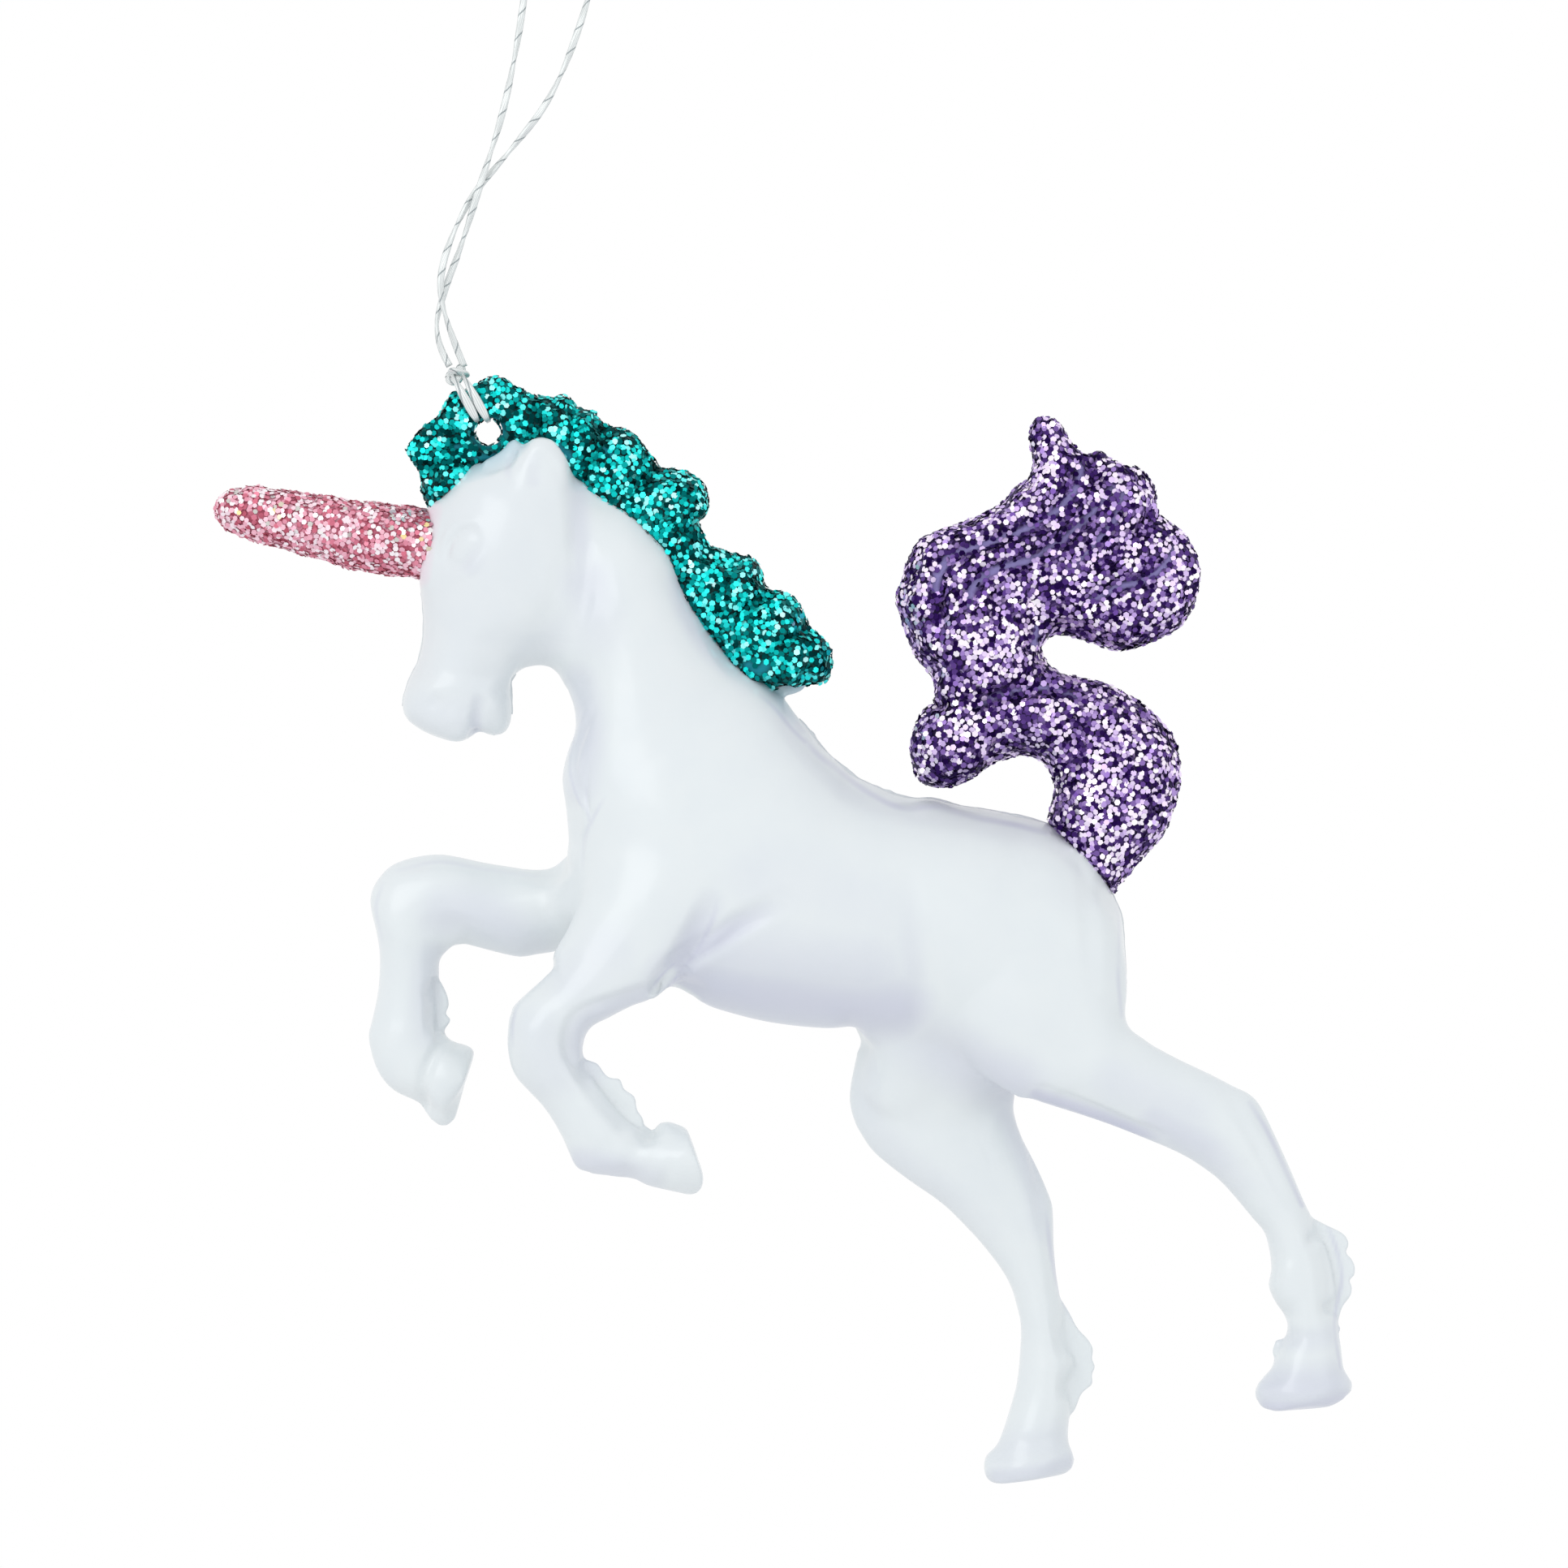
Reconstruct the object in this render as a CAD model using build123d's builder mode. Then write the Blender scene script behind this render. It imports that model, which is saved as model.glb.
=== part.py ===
"""A hanging unicorn figurine: two moulded body halves, a glittered horn, mane and tail, and a cord loop.

Lengths are millimetres. The figure stands upright and faces -X, its near side faces -Y, and the origin
is where a hook bears on the crown of the cord loop. Outlines are drawn on a squared sheet that lies in
the figure's middle plane: a place is (squares across towards the tail, squares down).
"""

import os
from math import pi, radians, sqrt, tan

from build123d import *

# Driving size, and the sheet that the outlines are drawn on
figure_length = 105.0
sheet_squares = 140.0
square = figure_length / sheet_squares
crown_across_share = 70.9
crown_down_share = -40.0
to_tail = Axis.X.direction
to_far_side = Axis.Y.direction
upward = Axis.Z.direction

# Body shells
wall = 2.0
near_leg_y = -4.85
far_leg_y = 4.85
ear_y = 4.3
half = 0.5
loft_run = 3
loft_overlap = 1
overrun = 30.0

# Locating pins between the halves
pin_diameter = 2.4
pin_length = 3.0
pin_clearance = 0.1
pin_root = 1.5

# Face
eye_length = 3.0
eye_height = 1.7
eye_y = 5.15
nostril_radius = 0.6
nostril_y = 4.5

# Feathers at the fetlocks
feather_thickness = 1.2

# Horn
horn_peg_diameter = 3.2
horn_peg_length = 5.0
horn_peg_outside = 4.0
horn_ring_swell = 0.16
horn_tip_flat = 0.5

# Mane and tail fixings
tongue_thickness = 1.8
tongue_height = 5.0
groove_clearance = 0.1
spigot_diameter = 4.2

# Hanging eye
eyelet_diameter = 2.7
rim_thickness = 3.2
rim_round = 0.6

# Cord
cord_diameter = 0.65
cord_side_gap = 0.45
arc_share = 0.45
knot_turn_radius = 0.5
knot_turn_pitch = 0.55
hitch_offset = 2.08
hitch_inside = 0.93
hitch_root = 0.15
hitch_shoulder = 0.95
hitch_corner = 0.75
hitch_bend = 0.9
loop_knot_gap = 0.05
loop_knot_cord = 0.58
loop_knot_pitch = 0.5
loop_knot_end = 2.4
end_spread_share = 1.3
end_thin_share = 0.8

# Sections of the torso and neck: place on the back, place on the belly or chest, half depth in squares
rump_shares = [
    ((138.5, 113.0), (138.4, 122.0), 4.5),
    ((136.6, 108.0), (135.2, 129.0), 8.8),
    ((132.4, 103.6), (129.6, 133.0), 11.2),
]
barrel_shares = [
    ((125.0, 100.8), (121.0, 132.6), 12.2),
    ((118.0, 99.3), (112.6, 128.4), 12.2),
    ((110.0, 97.9), (104.0, 126.8), 12.3),
    ((103.6, 94.4), (93.0, 125.6), 12.4),
    ((99.0, 89.6), (83.0, 122.6), 12.2),
]
neck_shares = [
    ((95.6, 85.4), (73.6, 115.4), 11.4),
    ((91.6, 82.0), (69.6, 105.0), 10.2),
    ((88.2, 78.0), (69.4, 95.6), 9.4),
    ((85.2, 73.2), (70.6, 89.0), 8.8),
    ((82.6, 67.6), (70.4, 84.6), 8.4),
    ((77.6, 62.2), (67.0, 81.4), 7.6),
    ((73.0, 60.4), (65.4, 75.0), 4.0),
]
torso_shares = rump_shares + barrel_shares + neck_shares

# Sections of the head: place on the face, place on the cheek or jaw, half depth in squares
head_shares = [
    ((62.0, 56.2), (70.0, 57.4), 4.0),
    ((57.4, 58.0), (73.4, 60.6), 7.6),
    ((53.2, 62.4), (75.0, 66.4), 9.0),
    ((52.4, 68.0), (73.6, 73.0), 9.0),
    ((52.0, 73.4), (70.0, 79.0), 8.0),
    ((52.2, 78.0), (65.0, 82.4), 6.8),
    ((51.2, 82.2), (62.9, 84.8), 6.0),
    ((49.7, 86.4), (63.1, 87.4), 6.2),
    ((50.6, 89.2), (61.8, 90.0), 5.2),
    ((54.2, 90.9), (59.6, 91.1), 2.4),
]

# Sections of the legs: place in front or outside, place behind or inside, half depth in squares
near_foreleg_shares = [
    ((76.0, 103.0), (95.0, 108.0), 4.6),
    ((69.6, 114.6), (88.0, 118.6), 5.9),
    ((66.6, 120.4), (80.8, 122.8), 5.7),
    ((63.2, 125.0), (74.4, 125.8), 5.2),
    ((62.6, 129.0), (71.8, 129.6), 4.9),
    ((64.4, 133.4), (73.4, 131.2), 4.4),
    ((67.6, 137.2), (75.2, 133.4), 4.0),
    ((69.8, 140.8), (77.4, 136.4), 4.0),
    ((73.4, 144.4), (79.2, 138.2), 4.1),
    ((78.6, 145.1), (81.4, 138.4), 4.3),
    ((82.4, 146.4), (83.4, 138.3), 4.8),
    ((86.4, 146.6), (84.7, 138.9), 5.1),
]
far_foreleg_shares = [
    ((80.0, 101.0), (82.0, 119.0), 4.8),
    ((70.0, 104.9), (69.0, 118.0), 5.7),
    ((64.0, 107.0), (63.6, 118.0), 5.5),
    ((58.0, 106.2), (57.4, 116.8), 5.2),
    ((52.4, 105.1), (54.6, 117.4), 5.0),
    ((46.8, 107.6), (54.0, 118.4), 4.9),
    ((45.3, 112.4), (53.9, 119.6), 4.7),
    ((46.3, 118.0), (54.1, 121.0), 4.2),
    ((46.0, 123.0), (54.8, 124.0), 4.0),
    ((45.2, 127.8), (55.2, 127.0), 4.2),
    ((46.6, 132.8), (56.8, 128.8), 4.5),
    ((50.4, 136.0), (57.7, 129.4), 4.9),
    ((54.6, 138.9), (58.2, 129.8), 5.1),
]
near_hind_shares = [
    ((118.0, 112.0), (136.0, 110.6), 5.2),
    ((116.4, 122.6), (138.6, 119.6), 6.1),
    ((120.0, 131.6), (138.8, 125.4), 6.0),
    ((129.2, 135.8), (142.2, 128.8), 5.4),
    ((136.4, 138.3), (148.4, 132.0), 4.9),
    ((142.0, 140.9), (154.0, 134.8), 4.6),
    ((146.4, 142.7), (156.8, 138.8), 4.3),
    ((151.0, 146.4), (159.0, 144.4), 4.0),
    ((154.4, 150.2), (161.6, 149.8), 3.9),
    ((156.2, 154.4), (163.6, 154.6), 4.1),
    ((156.6, 158.8), (164.2, 159.2), 4.1),
    ((157.8, 163.0), (164.4, 163.4), 4.0),
    ((156.2, 167.0), (165.0, 166.8), 4.3),
    ((154.6, 170.4), (166.0, 170.0), 5.0),
    ((155.2, 173.3), (164.6, 172.9), 5.1),
]
far_hind_shares = [
    ((108.0, 112.0), (129.0, 113.0), 5.2),
    ((106.2, 122.0), (127.6, 126.0), 6.0),
    ((104.9, 131.4), (125.4, 134.0), 5.7),
    ((105.8, 139.4), (125.8, 139.2), 5.3),
    ((111.6, 145.2), (128.2, 144.6), 4.9),
    ((117.8, 150.0), (129.9, 149.6), 4.4),
    ((122.4, 154.6), (130.1, 154.0), 4.0),
    ((125.0, 159.4), (131.0, 159.0), 3.8),
    ((125.9, 164.2), (132.7, 163.8), 3.9),
    ((125.7, 169.2), (133.4, 168.8), 4.1),
    ((124.8, 173.4), (132.6, 173.0), 4.0),
    ((123.2, 177.6), (131.9, 176.6), 4.4),
    ((121.4, 181.0), (132.4, 179.8), 5.0),
    ((122.2, 182.9), (131.0, 181.8), 5.1),
]

# Ear: sections from root to tip
ear_shares = [
    ((63.6, 60.2), (70.8, 61.2), 2.4),
    ((63.4, 58.0), (70.4, 59.2), 2.3),
    ((64.2, 56.0), (69.4, 56.8), 1.9),
    ((65.9, 54.2), (68.0, 54.6), 0.9),
]

# Fetlock feathers: lobe centre and lobe radius in squares
near_foreleg_feather_shares = [((75.4, 132.8), 2.2), ((76.6, 134.9), 2.1), ((77.6, 136.9), 2.0)]
far_foreleg_feather_shares = [((53.3, 122.6), 2.0), ((53.6, 125.2), 1.9), ((53.2, 127.6), 2.0)]
near_hind_feather_shares = [
    ((163.6, 153.4), 2.2),
    ((164.2, 156.2), 2.3),
    ((163.6, 159.2), 2.2),
    ((162.4, 162.0), 2.2),
]
far_hind_feather_shares = [((131.3, 165.0), 2.1), ((132.4, 167.6), 2.2), ((131.6, 170.8), 2.2)]

# Face features and fixings on the sheet
eye_place_shares = (57.4, 67.4)
eye_corner_shares = (56.0, 69.6)
nostril_place_shares = (53.8, 86.8)
mouth_shares = [(58.5, 92.4), (59.0, 88.0), (59.2, 86.8), (59.5, 88.0), (59.6, 92.4)]
pin_places_shares = [(65.0, 72.0), (80.0, 84.0), (134.2, 118.0)]
crest_shares = [(70.0, 60.8), (77.0, 62.4), (83.0, 69.6), (87.2, 75.8), (91.8, 82.0), (95.0, 85.0)]

# Horn: root and tip on its axis, then the way along it as a share and the radius in squares
horn_root_shares = (54.6, 67.4)
horn_tip_shares = (26.4, 63.2)
horn_profile_shares = [
    (0.0, 4.4), (0.12, 4.4), (0.25, 4.35), (0.38, 4.2), (0.51, 4.0), (0.64, 3.75), (0.77, 3.4), (0.9, 2.9),
]
horn_tip_round_share = 0.76

# Hanging eye and forelock plate
eyelet_shares = (60.2, 53.2)
forelock_shares = [
    (53.4, 63.0), (51.6, 59.6), (50.4, 55.4), (52.2, 52.4), (55.0, 50.0), (57.6, 48.6),
    (60.2, 47.2), (63.0, 47.2), (65.6, 48.6), (68.4, 49.2), (70.6, 52.0), (70.4, 60.0), (63.0, 64.0),
]

# Locks of the mane: place on the outer edge, place inside the neck, half depth in squares
mane_locks_shares = [
    [
        ((50.9, 54.6), (54.0, 53.4), 1.6), ((51.3, 57.4), (57.6, 55.8), 3.2),
        ((52.0, 60.4), (60.4, 58.6), 3.8), ((53.2, 63.2), (61.6, 62.2), 3.0),
    ],
    [
        ((63.0, 50.6), (66.0, 47.8), 1.8), ((64.8, 55.8), (69.6, 49.0), 3.6),
        ((67.2, 61.4), (73.6, 51.0), 4.2), ((73.4, 64.0), (77.6, 53.2), 3.9),
        ((78.2, 64.4), (80.4, 55.8), 3.0), ((81.4, 63.2), (82.4, 58.2), 1.5),
    ],
    [
        ((70.6, 63.6), (73.4, 55.0), 3.0), ((76.6, 67.2), (80.6, 57.0), 4.0),
        ((81.2, 70.6), (86.6, 59.0), 4.4), ((84.6, 73.4), (87.3, 63.0), 3.4),
        ((86.0, 74.0), (86.6, 67.0), 1.8),
    ],
    [
        ((77.6, 68.6), (82.6, 62.0), 3.0), ((82.4, 75.4), (88.8, 66.0), 4.2),
        ((86.6, 80.0), (93.2, 69.0), 4.6), ((90.4, 81.6), (94.4, 74.0), 3.2),
        ((91.4, 81.8), (93.6, 77.6), 1.6),
    ],
    [
        ((83.0, 76.0), (89.0, 69.6), 3.2), ((88.4, 82.0), (95.2, 72.8), 4.0),
        ((93.0, 86.6), (100.2, 77.4), 4.3), ((97.2, 86.8), (102.2, 80.6), 3.0),
        ((99.8, 85.6), (102.2, 82.6), 1.5),
    ],
]

# Locks of the tail: the two edges of each section and its half depth in squares
tail_locks_shares = [
    [
        ((129.6, 104.4), (137.4, 111.0), 4.4), ((129.2, 101.0), (141.4, 104.8), 5.2),
        ((129.6, 97.2), (145.4, 96.8), 5.6), ((130.6, 92.4), (145.0, 90.8), 5.2),
        ((131.0, 88.4), (141.6, 86.6), 3.2),
    ],
    [
        ((141.4, 98.4), (143.0, 88.6), 3.4), ((134.6, 97.4), (136.4, 83.6), 5.0),
        ((126.4, 93.2), (128.6, 82.4), 5.7), ((119.6, 96.2), (120.0, 84.0), 5.2),
        ((115.0, 97.0), (115.6, 86.0), 4.4), ((112.2, 94.4), (112.6, 89.4), 2.4),
    ],
    [
        ((116.6, 92.0), (129.8, 90.0), 4.2), ((113.6, 84.0), (129.6, 83.0), 5.4),
        ((110.6, 76.6), (128.6, 77.0), 6.1), ((110.4, 71.0), (131.0, 70.0), 6.1),
        ((113.6, 66.6), (136.0, 64.0), 5.3), ((122.6, 62.2), (138.0, 58.4), 4.6),
        ((127.0, 57.4), (133.2, 55.4), 3.2), ((128.0, 52.4), (129.8, 52.0), 1.4),
    ],
    [
        ((124.0, 66.6), (124.6, 80.4), 3.4), ((131.4, 61.4), (131.0, 79.6), 4.7),
        ((138.8, 61.4), (138.6, 80.2), 5.0), ((144.2, 64.0), (144.2, 78.2), 4.2),
        ((147.5, 68.0), (147.4, 74.0), 2.4),
    ],
    [
        ((126.0, 68.0), (136.0, 75.2), 3.0), ((130.6, 60.6), (143.0, 68.6), 4.4),
        ((134.6, 55.6), (143.0, 63.0), 3.8), ((138.8, 56.8), (142.0, 59.6), 2.0),
    ],
]
spigot_axis_shares = [(134.6, 104.0), (131.2, 110.4)]

# Cord route on the sheet, with the distance from the middle plane in side gaps
cord_route_shares = [
    (55.4, 45.1, 0.0), (53.3, 41.6, 0.9), (54.6, 36.0, 1.0), (56.9, 30.2, 0.3), (59.3, 22.4, -1.0),
    (62.3, 13.2, -0.8), (64.7, 0.0, 0.0), (65.7, -13.0, 0.0), (65.6, -26.0, 0.0), (66.5, -35.6, 0.0),
    (69.2, -40.0, 0.0), (72.6, -40.0, 0.0), (75.3, -35.6, 0.0), (76.4, -26.0, 0.0), (75.6, -13.0, 0.0),
    (72.6, 0.0, 0.0), (68.4, 11.6, 0.6), (62.6, 18.9, 1.0), (58.2, 23.8, 0.9), (55.2, 30.0, -0.4),
    (54.0, 35.2, -1.0), (55.2, 40.4, -0.9), (57.2, 45.2, 0.0),
]
knot_place_shares = (56.4, 46.3)
loop_knot_leg_share = 0.6

os.makedirs("parts", exist_ok=True)


def spot(across, down):
    """The X and Z of a place on the sheet."""
    return (across - crown_across_share) * square, (crown_down_share - down) * square


def place(across, down, y=0.0):
    """The point in space of a place on the sheet, moved off the middle plane by y."""
    x, z = spot(across, down)
    return Vector(x, y, z)


def section(first, second, y):
    """The plane of an elliptical section whose long axis joins two places, and half that axis."""
    start, end = place(*first, y), place(*second, y)
    along = end - start
    plane = Plane(origin=(start + end) * half, x_dir=along, z_dir=along.cross(to_far_side))
    return plane, along.length * half


def lofted(sections, y):
    """A solid lofted through elliptical sections about the plane at y, a few sections to a run."""
    with BuildPart() as made:
        for first in range(0, len(sections) - loft_overlap, loft_run):
            for start, end, half_depth_share in sections[first : first + loft_run + loft_overlap]:
                section_plane, half_span = section(start, end, y)
                with BuildSketch(section_plane):
                    Ellipse(half_span, half_depth_share * square)
            loft()
    return made.part


def feather(lobes, y):
    """The thin scalloped plate of hair behind a fetlock."""
    with BuildPart() as made:
        with BuildSketch(Plane.XZ.offset(-y)):
            for middle, radius_share in lobes:
                with Locations(spot(*middle)):
                    Circle(radius_share * square)
        extrude(amount=feather_thickness * half, both=True)
    return made.part


def crest_bar(thickness, height):
    """A bar of rectangular section that follows the crest of the neck."""
    with BuildPart() as made:
        with BuildLine(Plane.XZ) as crest:
            Spline(*[spot(*crest_place) for crest_place in crest_shares])
        with BuildSketch(Plane(origin=crest.line @ 0, x_dir=to_far_side, z_dir=crest.line % 0)):
            Rectangle(thickness, height)
        sweep()
    return made.part


def rod(start, end, diameter):
    """A round rod between two points."""
    with BuildPart() as made:
        with BuildSketch(Plane(origin=start, z_dir=end - start)):
            Circle(diameter * half)
        extrude(amount=(end - start).length)
    return made.part


def bend_radii(corners):
    """The arc radius at each corner of a route."""
    radii = []
    for before, corner, after in zip(corners, corners[1:], corners[2:]):
        arriving, leaving = corner - before, after - corner
        half_turn = radians(arriving.get_angle(leaving)) * half
        radii.append(arc_share * min(arriving.length, leaving.length) / tan(half_turn))
    return radii


# Torso and neck, then head, as one solid core
with BuildPart() as core:
    add(lofted(torso_shares, 0))
    add(lofted(head_shares, 0))

# Hollow of the barrel, one wall inside the torso's sections
with BuildPart() as barrel_hollow:
    for back, belly, half_depth_share in barrel_shares:
        section_plane, half_span = section(back, belly, 0)
        with BuildSketch(section_plane):
            Ellipse(half_span - wall, half_depth_share * square - wall)
    loft()

# Ears, one beside each half of the head
near_ear = lofted(ear_shares, -ear_y)
far_ear = lofted(ear_shares, ear_y)

# Face: a bead for each eye, nostril dimples, and the slit of the mouth
eye_forward = place(*eye_corner_shares) - place(*eye_place_shares)
with BuildPart() as eye_bead:
    with BuildSketch(Plane(origin=place(*eye_place_shares), x_dir=eye_forward, z_dir=to_far_side)):
        Ellipse(eye_length * half, eye_height * half)
        Rectangle(overrun, overrun, align=(Align.CENTER, Align.MAX), mode=Mode.SUBTRACT)
    revolve(axis=Axis(place(*eye_place_shares), eye_forward))
with BuildPart() as face_cutter:
    with Locations(place(*nostril_place_shares, -nostril_y), place(*nostril_place_shares, nostril_y)):
        Sphere(nostril_radius)
    with BuildSketch(Plane.XZ):
        with BuildLine():
            Polyline(*[spot(*mouth_place) for mouth_place in mouth_shares], close=True)
        make_face()
    extrude(amount=overrun, both=True)

# Fixings that pass between the shells and what they hold
horn_root, horn_tip = place(*horn_root_shares), place(*horn_tip_shares)
horn_way = (horn_tip - horn_root).normalized()
horn_peg = rod(
    horn_root - horn_way * horn_peg_length,
    horn_root + horn_way * horn_peg_outside,
    horn_peg_diameter,
)
horn_socket = rod(
    horn_root - horn_way * (horn_peg_length + pin_clearance),
    horn_root + horn_way * horn_peg_outside,
    horn_peg_diameter + pin_clearance + pin_clearance,
)
tongue = crest_bar(tongue_thickness, tongue_height)
groove = crest_bar(
    tongue_thickness + groove_clearance + groove_clearance,
    tongue_height + groove_clearance + groove_clearance,
)
dock_top, dock_bottom = [place(*dock) for dock in spigot_axis_shares]
dock_way = (dock_bottom - dock_top).normalized()
spigot = rod(dock_top, dock_bottom, spigot_diameter)
dock_socket = rod(
    dock_top, dock_bottom + dock_way * pin_clearance, spigot_diameter + pin_clearance + pin_clearance
)

# Near half of the body, with its legs, ear and locating pins
with BuildPart() as left_body_shell:
    add(core.part)
    add(barrel_hollow.part, mode=Mode.SUBTRACT)
    split(bisect_by=Plane.XZ, keep=Keep.TOP)
    add(lofted(near_foreleg_shares, near_leg_y))
    add(lofted(near_hind_shares, near_leg_y))
    add(barrel_hollow.part, mode=Mode.SUBTRACT)
    add(feather(near_foreleg_feather_shares, near_leg_y))
    add(feather(near_hind_feather_shares, near_leg_y))
    add(near_ear)
    with Locations((0, -eye_y, 0)):
        add(eye_bead.part)
    for taken in (face_cutter.part, horn_socket, groove, dock_socket):
        add(taken, mode=Mode.SUBTRACT)
    with BuildSketch(Plane.XZ.offset(pin_root)):
        for pin_place in pin_places_shares:
            with Locations(spot(*pin_place)):
                Circle(pin_diameter * half)
    extrude(amount=-(pin_root + pin_length))

# Far half of the body, with its legs, ear and pin sockets
with BuildPart() as right_body_shell:
    add(core.part)
    add(barrel_hollow.part, mode=Mode.SUBTRACT)
    split(bisect_by=Plane.XZ, keep=Keep.BOTTOM)
    add(lofted(far_foreleg_shares, far_leg_y))
    add(lofted(far_hind_shares, far_leg_y))
    add(barrel_hollow.part, mode=Mode.SUBTRACT)
    add(feather(far_foreleg_feather_shares, far_leg_y))
    add(feather(far_hind_feather_shares, far_leg_y))
    add(far_ear)
    with Locations((0, eye_y, 0)):
        add(eye_bead.part)
    for taken in (face_cutter.part, horn_socket, groove, dock_socket):
        add(taken, mode=Mode.SUBTRACT)
    with BuildSketch(Plane.XZ):
        for pin_place in pin_places_shares:
            with Locations(spot(*pin_place)):
                Circle(pin_diameter * half + pin_clearance)
    extrude(amount=-(pin_length + pin_clearance), mode=Mode.SUBTRACT)

# Horn: a blunt ringed cone, seated on the forehead with its peg in the socket
with BuildPart() as horn:
    with BuildSketch(Plane(origin=horn_root, x_dir=horn_way, z_dir=to_far_side)):
        with BuildLine():
            horn_length = (horn_tip - horn_root).length
            stations = [(reach * horn_length, radius * square) for reach, radius in horn_profile_shares]
            Line((0, 0), stations[0])
            for (start_reach, start_radius), (end_reach, end_radius) in zip(stations, stations[1:]):
                swell = (start_radius + end_radius) * half + horn_ring_swell
                ThreePointArc(
                    (start_reach, start_radius),
                    ((start_reach + end_reach) * half, swell),
                    (end_reach, end_radius),
                )
            end_reach, end_radius = stations[-1]
            round_reach = end_reach + (horn_length - end_reach) * horn_tip_round_share
            ThreePointArc(
                (end_reach, end_radius),
                (round_reach, end_radius * horn_tip_round_share),
                (horn_length, horn_tip_flat),
            )
            Line((horn_length, horn_tip_flat), (horn_length, 0))
            Line((horn_length, 0), (0, 0))
        make_face()
    revolve(axis=Axis(horn_root, horn_way))
    add(core.part, mode=Mode.SUBTRACT)
    add(horn_peg)

# What the hanging eye takes away: a round hole with rounded lips, open to both sides
eyelet_middle = place(*eyelet_shares)
eyelet_radius = eyelet_diameter * half
lip = rim_thickness * half
lip_middle = rim_round - rim_round * sqrt(half)
with BuildPart() as eyelet_cutter:
    with BuildSketch(Plane(origin=eyelet_middle, x_dir=to_tail, z_dir=upward)):
        with BuildLine():
            Line((0, -overrun), (eyelet_radius + rim_round, -overrun))
            Line((eyelet_radius + rim_round, -overrun), (eyelet_radius + rim_round, -lip))
            ThreePointArc(
                (eyelet_radius + rim_round, -lip),
                (eyelet_radius + lip_middle, lip_middle - lip),
                (eyelet_radius, rim_round - lip),
            )
            Line((eyelet_radius, rim_round - lip), (eyelet_radius, lip - rim_round))
            ThreePointArc(
                (eyelet_radius, lip - rim_round),
                (eyelet_radius + lip_middle, lip - lip_middle),
                (eyelet_radius + rim_round, lip),
            )
            Line((eyelet_radius + rim_round, lip), (eyelet_radius + rim_round, overrun))
            Line((eyelet_radius + rim_round, overrun), (0, overrun))
            Line((0, overrun), (0, -overrun))
        make_face()
    revolve(axis=Axis(eyelet_middle, to_far_side))

# Mane: forelock plate and locks on the crest, the tongue under them, and the hanging eye
with BuildPart() as mane:
    with BuildSketch(Plane.XZ):
        with BuildLine():
            Spline(*[spot(*edge) for edge in forelock_shares], periodic=True)
        make_face()
    extrude(amount=rim_thickness * half, both=True)
    for lock in mane_locks_shares:
        add(lofted(lock, 0))
    add(core.part, mode=Mode.SUBTRACT)
    add(near_ear, mode=Mode.SUBTRACT)
    add(far_ear, mode=Mode.SUBTRACT)
    add(horn.part, mode=Mode.SUBTRACT)
    add(tongue)
    add(eyelet_cutter.part, mode=Mode.SUBTRACT)

# Tail: a plume of locks with its spigot in the dock
with BuildPart() as tail:
    for lock in tail_locks_shares:
        add(lofted(lock, 0))
    add(core.part, mode=Mode.SUBTRACT)
    add(spigot)

# Hitch: the knot over the eye, and the cord's bight round the rim
knot_middle = place(*knot_place_shares)
hitch_way = (knot_middle - eyelet_middle).normalized()
knot_reach = (knot_middle - eyelet_middle).length
with BuildPart() as cord_hitch:
    hitch_plane = Plane(origin=eyelet_middle, x_dir=hitch_way, z_dir=hitch_way.cross(to_far_side))
    with BuildLine(hitch_plane) as bight:
        FilletPolyline(
            (knot_reach - hitch_root, -knot_turn_radius),
            (knot_reach - hitch_shoulder, -hitch_offset),
            (hitch_inside, -hitch_offset),
            (hitch_inside, hitch_offset),
            (knot_reach - hitch_shoulder, hitch_offset),
            (knot_reach - hitch_root, knot_turn_radius),
            radius=[hitch_bend, hitch_corner, hitch_corner, hitch_bend],
        )
    with BuildSketch(Plane(origin=bight.line @ 0, z_dir=bight.line % 0)):
        Circle(cord_diameter * half)
    sweep()
    for turn in (-knot_turn_pitch, 0, knot_turn_pitch):
        with BuildSketch(Plane.XY.offset(knot_middle.Z)):
            with Locations((knot_middle.X + turn, knot_turn_radius)):
                Circle(cord_diameter * half)
        revolve(axis=Axis(knot_middle, to_tail))

# Loop: the free cord from the hitch up round its crown and back
route = [place(across, down, side * cord_side_gap) for across, down, side in cord_route_shares]
radii = bend_radii(route)
with BuildPart() as cord_loop:
    with BuildLine():
        cord_line = FilletPolyline(*route, radius=radii)
    with BuildSketch(Plane(origin=cord_line @ 0, z_dir=cord_line % 0)):
        Circle(cord_diameter * half)
    sweep()
cord_section = pi * (cord_diameter * half) * (cord_diameter * half)
print("cord radii", " ".join(f"{radius:.1f}" for radius in radii))
print(f"cord length {cord_line.length:.2f}")
print(f"tube over section times length {cord_loop.part.volume / (cord_section * cord_line.length):.4f}")

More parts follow.
